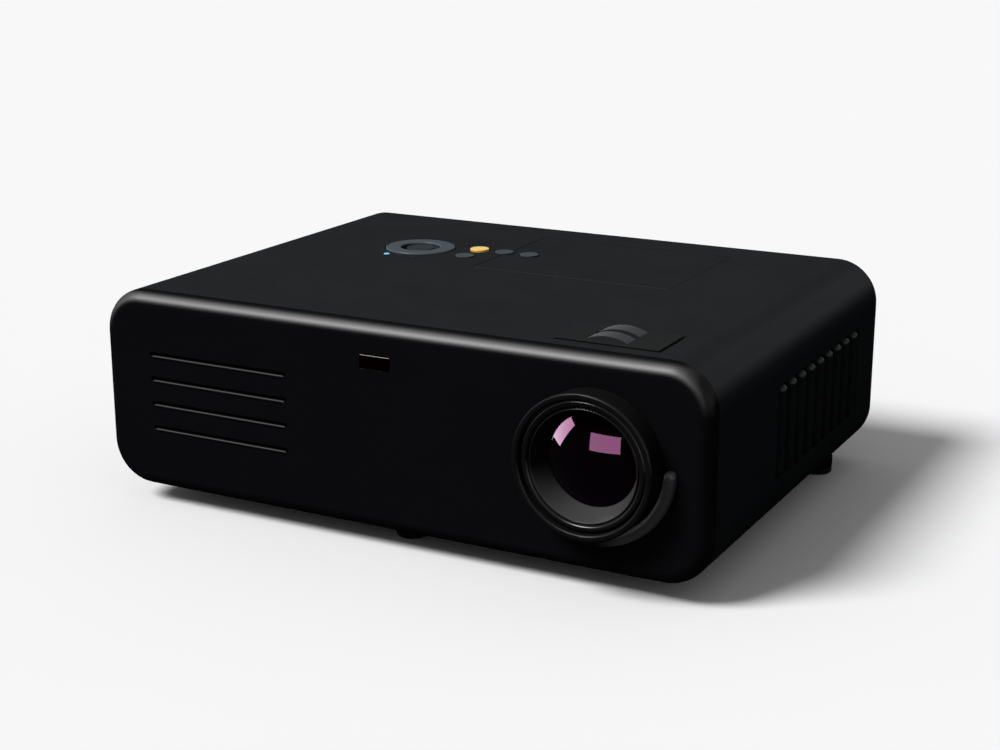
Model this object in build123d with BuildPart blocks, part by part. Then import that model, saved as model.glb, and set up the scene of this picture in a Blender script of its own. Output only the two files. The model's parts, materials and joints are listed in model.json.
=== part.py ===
from build123d import *
import math
import os

# Desktop projector, modelled as it comes apart on a bench.
# X runs to the right seen from the front, Y runs from the lens to the back, Z is up.
# The origin is at the middle of the footprint, on the table.

# Case
case_width = 300.0
case_depth = 222.6
case_height = 93.0
case_corner = 20.5
front_round = 7.0
back_round = 5.0
rim_land = 0.8
wall = 2.4
front_wall = 2.6
rim_inset = 4.2
back_wall = 2.6
seam = 0.4
seam_depth = 0.6
split_height = 21.0
tongue_rise = 4.0
tongue_wall = 1.2
foot_height = 9.0
lens_reach = 13.3

# Fits
running_fit = 0.05
loose_fit = 0.3
seat_fit = 0.1

# Front louvre and receiver window
louvre_length = 74.8
louvre_gap = 2.2
louvre_pitch = 11.6
louvre_count = 4
louvre_x = -86.2
louvre_rise = 47.2
window_width = 15.3
window_height = 6.3
window_x = -3.0
window_rise = 76.1
window_corner = 0.8
window_sink = 0.3
window_flange = 1.5

# Lens
lens_x = 99.9
lens_rise = 49.4
hood_radius = 30.0
hood_lip_radius = 30.9
hood_lip_length = 2.6
hood_lip_round = 1.2
hood_bore = 27.9
hood_length_inside = 10.0
hood_flange_radius = 33.5
hood_flange = 2.4
cell_set_back = 0.8
cell_lip = 1.4
cone_front_radius = 25.3
glass_radius = 20.0
glass_set_back = 12.5
glass_edge = 3.0
glass_lip = 1.5
glass_crown = 4.0
barrel_radius = 15.4
barrel_bore = 13.0
barrel_end = 64.0
barrel_plate = 2.5
mount_flange_radius = 23.0
zoom_glass_radius = 10.5
zoom_glass_thickness = 4.5
zoom_cell_length = 9.0
zoom_cell_y = 45.0

# Guard rib beside the lens
guard_inner_radius = 32.2
guard_width = 3.8
guard_height = 3.4
guard_round = 1.5
guard_start = 5.0
guard_sweep = 88.0

# Thumbwheels and their gears
wheel_proud = 2.84
wheel_width = 9.6
wheel_gap = 1.4
wheel_front = 18.5
wheel_rim = 3.6
wheel_web = 3.0
wheel_hub = 4.6
wheel_half_angle = 66.0
wheel_offset = 3.6
shaft_radius = 1.5
tooth_module = 1.2
wheel_teeth = 12
ring_teeth = 30
tooth_addendum = 1.0
tooth_dedendum = 1.3
tooth_backlash = 0.45
tooth_width = 4.0
flank_angle = 20.0
wheel_tooth_span = 2
ring_tooth_span = 4
ring_length = 7.6
cheek = 2.0
cheek_width = 13.0

# Raised plate round the thumbwheels
plate_width = 47.0
plate_depth = 26.6
plate_x = 97.5
plate_front = 14.4
plate_rise = 0.9
plate_collar = 1.2

# Lamp cover
lamp_cover_left = -20.5
lamp_cover_right = 81.7
lamp_cover_front = 118.0
lamp_cover_back = 196.5
lamp_cover_thickness = 2.0
lamp_cover_gap = 0.35
lamp_cover_corner = 1.5
lamp_opening_inset = 4.5
key_shelf = 22.5
pad_thickness = 2.1
pad_margin = 4.5
pad_left = -92.0

# Control pad
pad_x = -65.0
pad_y = 144.5
ring_radius = 17.5
ring_opening = 10.0
ring_rise = 1.3
ring_thickness = 4.0
ring_gap = 0.6
ring_round = 0.8
select_radius = 7.0
select_rise = 0.9
select_thickness = 3.0
select_travel = 0.8
select_stem = 2.0
select_stem_length = 8.5
tube_wall = 1.4
gimbal_drop = 8.0
gimbal_thickness = 2.0
gimbal_inner = 11.0
gimbal_outer = 14.6
pivot_radius = 0.8
ear_width = 4.0
ear_thickness = 1.6
ear_gap = 0.6

# Round keys: x, distance behind the front, rise above the top
key_radius = 4.75
key_gap = 0.3
key_flange = 1.1
key_flange_thickness = 0.8
key_stem = 1.6
key_travel = 0.9
key_rise = 1.3
power_key_rise = 1.7
key_round = 0.9
menu_key_place = (-35.2, 137.0)
power_key_place = (-35.2, 152.5)
source_key_place = (-21.6, 153.4)
auto_key_place = (-7.9, 153.6)
switch_size = 5.0
switch_height = 2.2
deck_drop = 13.0
deck_thickness = 1.6
board_thickness = 1.6
deck_margin = 4.0
post_radius = 2.6

# Status lights
led_radius = 1.5
led_rise = 0.25
led_y = 123.7
power_led_x = -72.3
lamp_led_x = -64.6
heat_led_x = -56.6

# Side vents
vent_front = 77.8
vent_length = 113.8
vent_low = 23.6
vent_height = 43.2
vent_corner = 2.0
vent_bars = 9
vent_pitch = 12.6
bar_radius = 3.0
bar_proud = 1.2
bar_end_gap = 0.7
vent_flange = 4.0
vent_plate = 1.8
vent_rail = 1.4
vent_web = 2.4

# Feet
front_foot_back = 25.0
rear_foot_x = 132.0
rear_foot_back = 193.0
foot_knob_radius = 8.6
foot_pad_radius = 7.4
foot_pad_height = 2.6
foot_gap = 0.4
foot_round = 1.2
foot_thread = 4.0
foot_pivot = 2.2
foot_pivot_length = 1.4
foot_boss = 7.0
foot_boss_height = 20.0
rear_foot_knob_radius = 7.5

# Threaded inserts for a ceiling bracket
insert_spacing_x = 100.0
insert_spacing_y = 100.0
insert_y = 110.0
insert_bore = 2.0
insert_radius = 3.6
insert_length = 8.0
insert_boss = 6.0

# Case screws
screw_x = 133.0
screw_front = 60.0
screw_back = 205.0
screw_head = 2.9
screw_head_height = 1.8
screw_shank = 1.5
screw_length = 14.0
screw_post = 4.5
screw_well = 3.2
screw_well_depth = 6.0
post_height = 12.0

# Rear panel and its sockets
bay_left = -112.0
bay_right = 62.0
bay_low = 22.0
bay_high = 58.0
bay_depth = 7.0
bay_wall = 1.8
bay_corner = 3.0
io_board_gap = 9.0
vga_width = 30.8
vga_height = 12.5
vga_shell_width = 17.0
vga_shell_height = 8.4
vga_shell_reach = 5.8
vga_shell_angle = 80.0
vga_shell_round = 0.4
vga_places = (-90.0, -52.0)
rca_radius = 4.15
rca_hole = 1.6
rca_reach = 6.4
rca_body_width = 10.0
rca_body_height = 12.5
rca_places = (-22.0, -7.0, 8.0)
svideo_x = 24.0
svideo_radius = 4.9
svideo_depth = 5.0
svideo_core = 2.4
small_body_width = 12.0
jack_x = 38.0
jack_radius = 3.0
jack_hole = 1.75
usb_x = 51.0
usb_width = 12.0
usb_height = 11.0
usb_hole_width = 8.4
usb_hole_height = 7.8
usb_tongue = 3.2
socket_rise = 34.0
socket_wall = 1.0
inlet_x = 105.0
inlet_rise = 38.0
inlet_width = 27.0
inlet_height = 20.0
inlet_hole_width = 24.4
inlet_hole_height = 16.6
inlet_depth = 18.0
inlet_flange = 3.0
inlet_corner = 3.0
inlet_pin_width = 4.0
inlet_pin_thickness = 2.0
inlet_pin_drop = 2.0
inlet_pin_pitch = 7.0
inlet_pin_sink = 5.0
lock_slot_x = -128.0
lock_slot_rise = 34.0
lock_slot_width = 3.0
lock_slot_height = 7.0
lock_slot_corner = 0.9

# Inside the case
fan_size = 60.0
fan_depth = 15.0
fan_wall = 1.6
fan_hub = 13.0
fan_tip_gap = 0.9
fan_blades = 7
fan_blade_thickness = 1.4
fan_blade_pitch = 38.0
fan_blade_sink = 2.6
fan_strut = 3.0
fan_strut_count = 4
fan_pin = 1.5
fan_pin_length = 9.0
fan_screw_inset = 5.0
fan_screw_hole = 2.2
intake_fan_back = 14.0
lamp_fan_x = 122.0
lamp_fan_y = 152.0
lamp_width = 66.0
lamp_depth = 62.0
lamp_height = 66.0
lamp_wall = 2.0
lamp_corner = 1.5
lamp_x = 42.0
lamp_front = 124.0
lamp_mouth = 22.0
lamp_handle_width = 34.0
lamp_handle_rise = 7.0
lamp_handle_bar = 3.0
lamp_slots = 4
lamp_slot_pitch = 7.0
lamp_slot_length = 40.0
lamp_slot_gap = 2.4
reflector_depth = 32.0
reflector_wall = 2.0
burner_radius = 4.6
burner_tube = 2.2
burner_length = 38.0
burner_socket = 12.0
colour_wheel_radius = 22.0
colour_wheel_thickness = 1.2
colour_wheel_offset = 16.0
colour_hub = 8.0
colour_motor_radius = 9.0
colour_motor_length = 8.0
colour_hub_length = 6.0
colour_pin = 1.5
engine_wall = 2.5
engine_arm_width = 28.0
engine_back = 102.0
engine_height = 46.0
rod_width = 8.0
rod_height = 6.0
rod_end_gap = 3.0
fin_count = 7
fin_thickness = 1.2
fin_depth = 12.0
sink_width = 44.0
sink_base = 2.5
sink_height = 36.0
power_board_width = 74.0
power_board_depth = 104.0
power_board_x = -102.0
power_board_y = 131.0
power_board_rise = 9.0
transformer_width = 30.0
transformer_height = 34.0
capacitor_radius = 9.0
capacitor_height = 32.0
capacitor_pitch = 27.0
capacitor_inset = 18.0
power_sink_length = 70.0
power_sink_height = 38.0
power_sink_thickness = 3.0
power_sink_inset = 6.0
ballast_width = 26.0
ballast_depth = 78.0
ballast_height = 30.0
ballast_x = -44.0
ballast_y = 134.0
ballast_corner = 2.0
shelf_rise = 12.0
io_board_height = 52.0
chip_size = 18.0
chip_height = 2.6
chip_pitch = 54.0
chip_count = 3
leg_radius = 4.0
leg_inset = 6.0
rib_thickness = 3.0
rib_length = 40.0

# Places worked out from the sizes above
overall_depth = case_depth + lens_reach
front_y = lens_reach - overall_depth / 2
back_y = front_y + case_depth
floor_z = foot_height
roof_z = floor_z + case_height
middle_z = (floor_z + roof_z) / 2
side_x = case_width / 2
inner_floor = floor_z + wall
inner_roof = roof_z - wall
bezel_depth = front_round + rim_land
panel_depth = back_round + rim_land
shell_front = front_y + bezel_depth
shell_back = back_y - panel_depth
shell_length = shell_back - shell_front
split_z = floor_z + split_height
lens_z = floor_z + lens_rise
lens_axis = Axis((lens_x, front_y, lens_z), (0, 1, 0))
pad_floor = inner_roof - pad_thickness
lamp_cover_width = lamp_cover_right - lamp_cover_left
lamp_cover_depth = lamp_cover_back - lamp_cover_front
lamp_cover_x = (lamp_cover_left + lamp_cover_right) / 2
lamp_cover_y = front_y + (lamp_cover_front + lamp_cover_back) / 2
vent_y = front_y + vent_front + vent_length / 2
vent_z = floor_z + vent_low + vent_height / 2
louvre_z = floor_z + louvre_rise
keys = {
    "menu_key": (menu_key_place, key_rise),
    "power_key": (power_key_place, power_key_rise),
    "source_key": (source_key_place, key_rise),
    "auto_key": (auto_key_place, key_rise),
}
leds = (power_led_x, lamp_led_x, heat_led_x)
feet = {
    "front_foot": (0.0, front_y + front_foot_back, foot_knob_radius),
    "rear_left_foot": (-rear_foot_x, front_y + rear_foot_back, rear_foot_knob_radius),
    "rear_right_foot": (rear_foot_x, front_y + rear_foot_back, rear_foot_knob_radius),
}
wheel_x = lens_x - wheel_offset
gear_distance = tooth_module * (wheel_teeth + ring_teeth) / 2
wheel_z = lens_z + math.sqrt(gear_distance**2 - wheel_offset**2)
wheel_radius = roof_z + wheel_proud - wheel_z
wheel_fronts = {
    "focus": front_y + wheel_front,
    "zoom": front_y + wheel_front + wheel_width + wheel_gap,
}
wheels_front = front_y + wheel_front
wheels_back = wheels_front + 2 * wheel_width + wheel_gap
plate_y = (wheels_front + wheels_back) / 2
plate_window_depth = wheels_back - wheels_front + 2 * loose_fit
plate_window = 2 * math.sqrt(wheel_radius**2 - (roof_z - wheel_z) ** 2) + 2 * loose_fit
roof_window = 2 * math.sqrt(wheel_radius**2 - (inner_roof - wheel_z) ** 2) + 2 * loose_fit
shelf_z = floor_z + shelf_rise
fan_z = vent_z
lamp_y = front_y + lamp_front + lamp_depth / 2
engine_front_y = front_y + barrel_end
engine_back_y = front_y + engine_back
engine_left = lamp_x - engine_arm_width / 2
engine_right = lens_x + barrel_radius + leg_inset
engine_x = (engine_left + engine_right) / 2
engine_floor = lens_z - engine_height / 2
board_y = back_y - bay_depth - bay_wall - io_board_gap
socket_z = floor_z + socket_rise
screws_y = front_y + (screw_front + screw_back) / 2
pieces = {}


def upright(y):
    """Plane seen from the front: local x is X, local y is Z, and its normal points at the viewer."""
    return Plane(origin=(0, y, 0), x_dir=(1, 0, 0), z_dir=(0, -1, 0))


def sideways(x):
    """Plane seen from the right: local x is Y and local y is Z."""
    return Plane(origin=(x, 0, 0), x_dir=(0, 1, 0), z_dir=(1, 0, 0))


def keep(name, builder):
    """Label a finished piece and remember it for writing."""
    builder.part.label = name
    pieces[name] = builder.part


def case_outline(inset=0.0, mode=Mode.ADD):
    """The case seen from the front, drawn on the open sketch and drawn in by inset."""
    with Locations((0, middle_z)):
        RectangleRounded(case_width - 2 * inset, case_height - 2 * inset, case_corner - inset, mode=mode)


# Front bezel
with BuildPart() as front_bezel:
    with BuildSketch(upright(shell_front - seam)):
        case_outline()
    extrude(amount=bezel_depth - seam)
    fillet(front_bezel.faces().sort_by(Axis.Y)[0].edges(), front_round)
    with BuildSketch(upright(shell_front)):
        case_outline(seam_depth)
    extrude(amount=seam)
    with BuildSketch(upright(shell_front)):
        case_outline(rim_inset)
    extrude(amount=bezel_depth - front_wall, mode=Mode.SUBTRACT)
    with BuildSketch(upright(front_y)):
        with Locations((louvre_x, louvre_z)):
            with GridLocations(louvre_length, louvre_pitch, 1, louvre_count):
                SlotOverall(louvre_length, louvre_gap)
        with Locations((window_x, floor_z + window_rise)):
            RectangleRounded(window_width, window_height, window_corner)
        with Locations((lens_x, lens_z)):
            Circle(hood_radius + loose_fit)
    extrude(amount=-front_wall, mode=Mode.SUBTRACT)
    guard_turn = math.radians(guard_start)
    guard_plane = Plane(
        origin=(lens_x, front_y, lens_z),
        x_dir=(math.cos(guard_turn), 0, -math.sin(guard_turn)),
        z_dir=(math.sin(guard_turn), 0, math.cos(guard_turn)),
    )
    with BuildSketch(guard_plane) as guard_section:
        with Locations((guard_inner_radius, front_wall / 2)):
            Rectangle(guard_width, guard_height + front_wall / 2, align=(Align.MIN, Align.MAX))
        fillet(guard_section.vertices().group_by(Axis.Y)[0], guard_round)
    revolve(axis=lens_axis, revolution_arc=guard_sweep)
keep("front_bezel", front_bezel)

# Receiver window, set in the bezel with a flange behind it
with BuildPart() as ir_window:
    with BuildSketch(upright(front_y + front_wall)):
        with Locations((window_x, floor_z + window_rise)):
            RectangleRounded(
                window_width - 2 * seat_fit, window_height - 2 * seat_fit, window_corner - seat_fit
            )
    extrude(amount=front_wall - window_sink)
    with BuildSketch(upright(front_y + front_wall)):
        with Locations((window_x, floor_z + window_rise)):
            Rectangle(window_width + 2 * window_flange, window_height + 2 * window_flange)
    extrude(amount=-window_flange)
keep("ir_window", ir_window)

# Top cover: the roof and both sides down to the seam
with BuildPart() as top_cover:
    with BuildSketch(upright(shell_back)):
        case_outline()
        case_outline(wall, mode=Mode.SUBTRACT)
        with Locations((0, split_z + seam)):
            Rectangle(case_width, case_height, align=(Align.CENTER, Align.MAX), mode=Mode.SUBTRACT)
    extrude(amount=shell_length)
    pad_right = lamp_cover_right + pad_margin
    pad_front = lamp_cover_front - pad_margin
    pad_back = lamp_cover_back + pad_margin
    with BuildSketch(Plane.XY.offset(pad_floor)):
        with Locations((pad_left, front_y + pad_front)):
            Rectangle(pad_right - pad_left, pad_back - pad_front, align=Align.MIN)
    extrude(amount=pad_thickness + wall / 2)
    with BuildSketch(Plane.XY.offset(roof_z)):
        with Locations((lamp_cover_x, lamp_cover_y)):
            RectangleRounded(
                lamp_cover_width + 2 * lamp_cover_gap,
                lamp_cover_depth + 2 * lamp_cover_gap,
                lamp_cover_corner + lamp_cover_gap,
            )
    extrude(amount=-lamp_cover_thickness - seat_fit, mode=Mode.SUBTRACT)
    opening_left = lamp_cover_left + key_shelf
    opening_right = lamp_cover_right - lamp_opening_inset
    with BuildSketch(Plane.XY.offset(roof_z)):
        with Locations(((opening_left + opening_right) / 2, lamp_cover_y)):
            RectangleRounded(
                opening_right - opening_left,
                lamp_cover_depth - 2 * lamp_opening_inset,
                lamp_cover_corner,
            )
        with Locations([(place[0], front_y + place[1]) for place, rise in keys.values()]):
            Circle(key_radius + key_gap)
        with Locations((pad_x, front_y + pad_y)):
            Circle(ring_radius + ring_gap)
        with Locations([(x, front_y + led_y) for x in leds]):
            Circle(led_radius + seat_fit)
        with Locations((wheel_x, plate_y)):
            Rectangle(
                roof_window + 2 * plate_collar + 2 * seat_fit,
                plate_window_depth + 2 * plate_collar + 2 * seat_fit,
            )
    extrude(amount=-wall - pad_thickness, mode=Mode.SUBTRACT)
    with BuildSketch(sideways(side_x)):
        with Locations((vent_y, vent_z)):
            RectangleRounded(vent_length, vent_height, vent_corner)
    extrude(amount=-case_width, mode=Mode.SUBTRACT)
    with BuildSketch(Plane.XY.offset(floor_z + post_height)):
        with Locations((0, screws_y)):
            with GridLocations(2 * screw_x, screw_back - screw_front, 2, 2):
                Circle(screw_post)
                Circle(screw_shank, mode=Mode.SUBTRACT)
    extrude(until=Until.NEXT, target=top_cover.part)
keep("top_cover", top_cover)

# Bottom case: the floor with its rounded edges, foot bosses, legs and ribs that carry what is inside
legs = [
    (lamp_x - lamp_width / 2 + leg_inset, lamp_y - lamp_depth / 2 + leg_inset, shelf_z),
    (lamp_x + lamp_width / 2 - leg_inset, lamp_y - lamp_depth / 2 + leg_inset, shelf_z),
    (lamp_x - lamp_width / 2 + leg_inset, lamp_y + lamp_depth / 2 - leg_inset, shelf_z),
    (lamp_x + lamp_width / 2 - leg_inset, lamp_y + lamp_depth / 2 - leg_inset, shelf_z),
    (engine_left + leg_inset, engine_front_y + leg_inset, engine_floor),
    (engine_right - leg_inset, engine_front_y + leg_inset, engine_floor),
    (engine_left + leg_inset, engine_back_y - leg_inset, engine_floor),
    (engine_right - leg_inset, engine_back_y - leg_inset, engine_floor),
    (ballast_x, front_y + ballast_y - ballast_depth / 2 + leg_inset, shelf_z),
    (ballast_x, front_y + ballast_y + ballast_depth / 2 - leg_inset, shelf_z),
]
for x_side in (-1, 1):
    for y_side in (-1, 1):
        legs.append(
            (
                power_board_x + x_side * (power_board_width / 2 - leg_inset),
                front_y + power_board_y + y_side * (power_board_depth / 2 - leg_inset),
                floor_z + power_board_rise,
            )
        )
ribs = [
    (louvre_x, front_y + intake_fan_back + fan_depth / 2, rib_length, rib_thickness, fan_z - fan_size / 2),
    (lamp_fan_x, front_y + lamp_fan_y, rib_thickness, rib_length, fan_z - fan_size / 2),
    (vga_places[0], board_y - board_thickness / 2, rib_thickness, 2 * rib_thickness, shelf_z),
    (svideo_x, board_y - board_thickness / 2, rib_thickness, 2 * rib_thickness, shelf_z),
]
with BuildPart() as bottom_case:
    with BuildSketch(upright(shell_back)):
        case_outline()
        case_outline(wall, mode=Mode.SUBTRACT)
        with Locations((0, split_z)):
            Rectangle(case_width, case_height, align=(Align.CENTER, Align.MIN), mode=Mode.SUBTRACT)
        for side in (-1, 1):
            with Locations((side * (side_x - wall - tongue_wall / 2), split_z)):
                Rectangle(tongue_wall, 2 * tongue_rise)
    extrude(amount=shell_length)
    for side in (-1, 1):
        with BuildSketch(sideways(side * (side_x - wall))):
            with Locations((vent_y, vent_z)):
                Rectangle(
                    vent_length + 2 * vent_flange + 2 * loose_fit, vent_height + vent_flange + 2 * loose_fit
                )
        extrude(amount=-side * tongue_wall, mode=Mode.SUBTRACT)
    for x, y, radius in feet.values():
        with BuildSketch(Plane.XY.offset(inner_floor)):
            with Locations((x, y)):
                Circle(foot_boss)
        extrude(amount=foot_boss_height - wall)
        with BuildSketch(Plane.XY.offset(floor_z)):
            with Locations((x, y)):
                Circle(foot_thread + running_fit)
        extrude(amount=foot_boss_height, mode=Mode.SUBTRACT)
    with BuildSketch(Plane.XY.offset(inner_floor)):
        with Locations((0, front_y + insert_y)):
            with GridLocations(insert_spacing_x, insert_spacing_y, 2, 2):
                Circle(insert_boss)
    extrude(amount=insert_length)
    with BuildSketch(Plane.XY.offset(floor_z)):
        with Locations((0, front_y + insert_y)):
            with GridLocations(insert_spacing_x, insert_spacing_y, 2, 2):
                Circle(insert_radius)
    extrude(amount=insert_length, mode=Mode.SUBTRACT)
    with BuildSketch(Plane.XY.offset(inner_floor)):
        with Locations((0, screws_y)):
            with GridLocations(2 * screw_x, screw_back - screw_front, 2, 2):
                Circle(screw_post)
    extrude(amount=post_height - wall)
    with BuildSketch(Plane.XY.offset(floor_z)):
        with Locations((0, screws_y)):
            with GridLocations(2 * screw_x, screw_back - screw_front, 2, 2):
                Circle(screw_well)
    extrude(amount=screw_well_depth, mode=Mode.SUBTRACT)
    with BuildSketch(Plane.XY.offset(floor_z)):
        with Locations((0, screws_y)):
            with GridLocations(2 * screw_x, screw_back - screw_front, 2, 2):
                Circle(screw_shank + seat_fit)
    extrude(amount=post_height, mode=Mode.SUBTRACT)
    for x, y, top in legs:
        with BuildSketch(Plane.XY.offset(inner_floor)):
            with Locations((x, y)):
                Circle(leg_radius)
        extrude(amount=top - inner_floor)
    for x, y, length_x, length_y, top in ribs:
        with BuildSketch(Plane.XY.offset(inner_floor)):
            with Locations((x, y)):
                Rectangle(length_x, length_y)
        extrude(amount=top - inner_floor)
keep("bottom_case", bottom_case)

# Four long screws that hold the two halves together
with BuildPart() as case_screws:
    with BuildSketch(Plane.XY.offset(floor_z + screw_well_depth)):
        with Locations((0, screws_y)):
            with GridLocations(2 * screw_x, screw_back - screw_front, 2, 2):
                Circle(screw_head)
    extrude(amount=-screw_head_height)
    with BuildSketch(Plane.XY.offset(floor_z + screw_well_depth)):
        with Locations((0, screws_y)):
            with GridLocations(2 * screw_x, screw_back - screw_front, 2, 2):
                Circle(screw_shank)
    extrude(amount=screw_length)
keep("case_screws", case_screws)

# Threaded inserts for a ceiling bracket
with BuildPart() as mount_inserts:
    with BuildSketch(Plane.XY.offset(floor_z)):
        with Locations((0, front_y + insert_y)):
            with GridLocations(insert_spacing_x, insert_spacing_y, 2, 2):
                Circle(insert_radius)
                Circle(insert_bore, mode=Mode.SUBTRACT)
    extrude(amount=insert_length)
keep("mount_inserts", mount_inserts)

# Feet: a rubber pad that stands still and a thumb screw that turns on it
for foot_name, (foot_x, foot_y, knob_radius) in feet.items():
    with BuildPart() as foot_pad:
        with BuildSketch(Plane.XY):
            with Locations((foot_x, foot_y)):
                Circle(foot_pad_radius)
        extrude(amount=foot_pad_height)
        fillet(foot_pad.edges().group_by(Axis.Z)[0], foot_round)
        with BuildSketch(Plane.XY.offset(foot_pad_height)):
            with Locations((foot_x, foot_y)):
                Circle(foot_pivot + running_fit)
        extrude(amount=-foot_pivot_length, mode=Mode.SUBTRACT)
    keep(foot_name + "_pad", foot_pad)
    with BuildPart() as foot_screw:
        with BuildSketch(Plane.XY.offset(foot_pad_height + seat_fit)):
            with Locations((foot_x, foot_y)):
                Circle(knob_radius)
        extrude(amount=foot_height - foot_pad_height - seat_fit - foot_gap)
        fillet(foot_screw.edges().group_by(Axis.Z)[0], foot_round)
        with BuildSketch(Plane.XY.offset(foot_pad_height - foot_pivot_length + seat_fit)):
            with Locations((foot_x, foot_y)):
                Circle(foot_pivot)
        extrude(amount=foot_pivot_length)
        with BuildSketch(Plane.XY.offset(floor_z - foot_gap)):
            with Locations((foot_x, foot_y)):
                Circle(foot_thread)
        extrude(amount=foot_boss_height)
    keep(foot_name + "_screw", foot_screw)

# Rear panel with a sunk bay for the sockets
bay_x = (bay_left + bay_right) / 2
bay_z = floor_z + (bay_low + bay_high) / 2
bay_width = bay_right - bay_left
bay_height = bay_high - bay_low
bay_floor_y = back_y - bay_depth
rca_x = [(x, socket_z) for x in rca_places]
with BuildPart() as rear_panel:
    with BuildSketch(upright(back_y)):
        case_outline()
    extrude(amount=panel_depth - seam)
    fillet(rear_panel.faces().sort_by(Axis.Y)[-1].edges(), back_round)
    with BuildSketch(upright(shell_back + seam)):
        case_outline(seam_depth)
    extrude(amount=seam)
    with BuildSketch(upright(back_y - back_wall)):
        case_outline(rim_inset)
    extrude(amount=panel_depth - back_wall, mode=Mode.SUBTRACT)
    with BuildSketch(upright(back_y)):
        with Locations((bay_x, bay_z)):
            RectangleRounded(bay_width + 2 * bay_wall, bay_height + 2 * bay_wall, bay_corner + bay_wall)
    extrude(amount=bay_depth + bay_wall)
    with BuildSketch(upright(back_y)):
        with Locations((bay_x, bay_z)):
            RectangleRounded(bay_width, bay_height, bay_corner)
    extrude(amount=bay_depth, mode=Mode.SUBTRACT)
    with BuildSketch(upright(back_y)):
        with Locations([(x, socket_z) for x in vga_places]):
            Rectangle(vga_shell_width + 2 * loose_fit, vga_shell_height + 2 * loose_fit)
        with Locations(rca_x):
            Circle(rca_radius + loose_fit)
        with Locations((svideo_x, socket_z)):
            Circle(svideo_radius + loose_fit)
        with Locations((jack_x, socket_z)):
            Circle(jack_radius + loose_fit)
        with Locations((usb_x, socket_z)):
            Rectangle(usb_width + 2 * loose_fit, usb_height + 2 * loose_fit)
        with Locations((inlet_x, floor_z + inlet_rise)):
            RectangleRounded(inlet_width + 2 * seat_fit, inlet_height + 2 * seat_fit, inlet_corner)
        with Locations((lock_slot_x, floor_z + lock_slot_rise)):
            RectangleRounded(lock_slot_width, lock_slot_height, lock_slot_corner)
    extrude(amount=bay_depth + bay_wall, mode=Mode.SUBTRACT)
keep("rear_panel", rear_panel)

# Sockets on the input board
with BuildPart() as vga_sockets:
    with BuildSketch(upright(bay_floor_y - bay_wall)):
        with Locations([(x, socket_z) for x in vga_places]):
            Rectangle(vga_width, vga_height)
    extrude(amount=io_board_gap)
    with BuildSketch(upright(bay_floor_y - bay_wall)):
        with Locations([(x, socket_z) for x in vga_places]):
            Trapezoid(vga_shell_width, vga_shell_height, vga_shell_angle, rotation=180)
    extrude(amount=-bay_wall - vga_shell_reach)
    fillet(vga_sockets.edges().filter_by(Axis.Y).group_by(SortBy.LENGTH)[-1], vga_shell_round)
keep("vga_sockets", vga_sockets)
with BuildPart() as av_sockets:
    with BuildSketch(upright(bay_floor_y - bay_wall)):
        with Locations(rca_x):
            Rectangle(rca_body_width, rca_body_height)
        with Locations((svideo_x, socket_z), (jack_x, socket_z), (usb_x, socket_z)):
            Rectangle(small_body_width, small_body_width)
    extrude(amount=io_board_gap)
    with BuildSketch(upright(bay_floor_y - bay_wall)):
        with Locations(rca_x):
            Circle(rca_radius)
    extrude(amount=-bay_wall - rca_reach)
    with BuildSketch(upright(bay_floor_y - bay_wall)):
        with Locations((svideo_x, socket_z)):
            Circle(svideo_radius)
        with Locations((jack_x, socket_z)):
            Circle(jack_radius)
        with Locations((usb_x, socket_z)):
            Rectangle(usb_width, usb_height)
    extrude(amount=-bay_wall)
    with BuildSketch(upright(bay_floor_y + rca_reach)):
        with Locations(rca_x):
            Circle(rca_hole)
        with Locations((jack_x, socket_z)):
            Circle(jack_hole)
    extrude(amount=rca_reach + io_board_gap / 2, mode=Mode.SUBTRACT)
    with BuildSketch(upright(bay_floor_y)):
        with Locations((svideo_x, socket_z)):
            Circle(svideo_radius - socket_wall)
            Circle(svideo_core, mode=Mode.SUBTRACT)
        with Locations((usb_x, socket_z)):
            Rectangle(usb_hole_width, usb_hole_height)
            Rectangle(usb_hole_width - usb_tongue, usb_tongue, mode=Mode.SUBTRACT)
    extrude(amount=svideo_depth, mode=Mode.SUBTRACT)
keep("av_sockets", av_sockets)
with BuildPart() as power_inlet:
    with BuildSketch(upright(back_y)):
        with Locations((inlet_x, floor_z + inlet_rise)):
            RectangleRounded(inlet_width, inlet_height, inlet_corner - seat_fit)
    extrude(amount=inlet_depth)
    with BuildSketch(upright(back_y - back_wall)):
        with Locations((inlet_x, floor_z + inlet_rise)):
            Rectangle(inlet_width + 2 * inlet_flange, inlet_height + inlet_flange)
    extrude(amount=inlet_flange)
    with BuildSketch(upright(back_y)):
        with Locations((inlet_x, floor_z + inlet_rise)):
            RectangleRounded(inlet_hole_width, inlet_hole_height, inlet_corner)
    extrude(amount=inlet_depth - back_wall, mode=Mode.SUBTRACT)
    with BuildSketch(upright(back_y - inlet_depth + back_wall)):
        with Locations((inlet_x, floor_z + inlet_rise)):
            with Locations(
                (-inlet_pin_pitch, -inlet_pin_drop), (0, inlet_pin_drop), (inlet_pin_pitch, -inlet_pin_drop)
            ):
                Rectangle(inlet_pin_thickness, inlet_pin_width)
    extrude(amount=-inlet_depth + back_wall + inlet_pin_sink)
keep("power_inlet", power_inlet)

# Input board and its chips
with BuildPart() as main_board:
    with BuildSketch(upright(board_y)):
        with Locations((bay_x, shelf_z)):
            Rectangle(bay_width, io_board_height, align=(Align.CENTER, Align.MIN))
    extrude(amount=board_thickness)
    with BuildSketch(upright(board_y - board_thickness)):
        with Locations((bay_x, shelf_z + io_board_height / 2)):
            with GridLocations(chip_pitch, 1, chip_count, 1):
                Rectangle(chip_size, chip_size)
    extrude(amount=chip_height)
keep("main_board", main_board)

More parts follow.
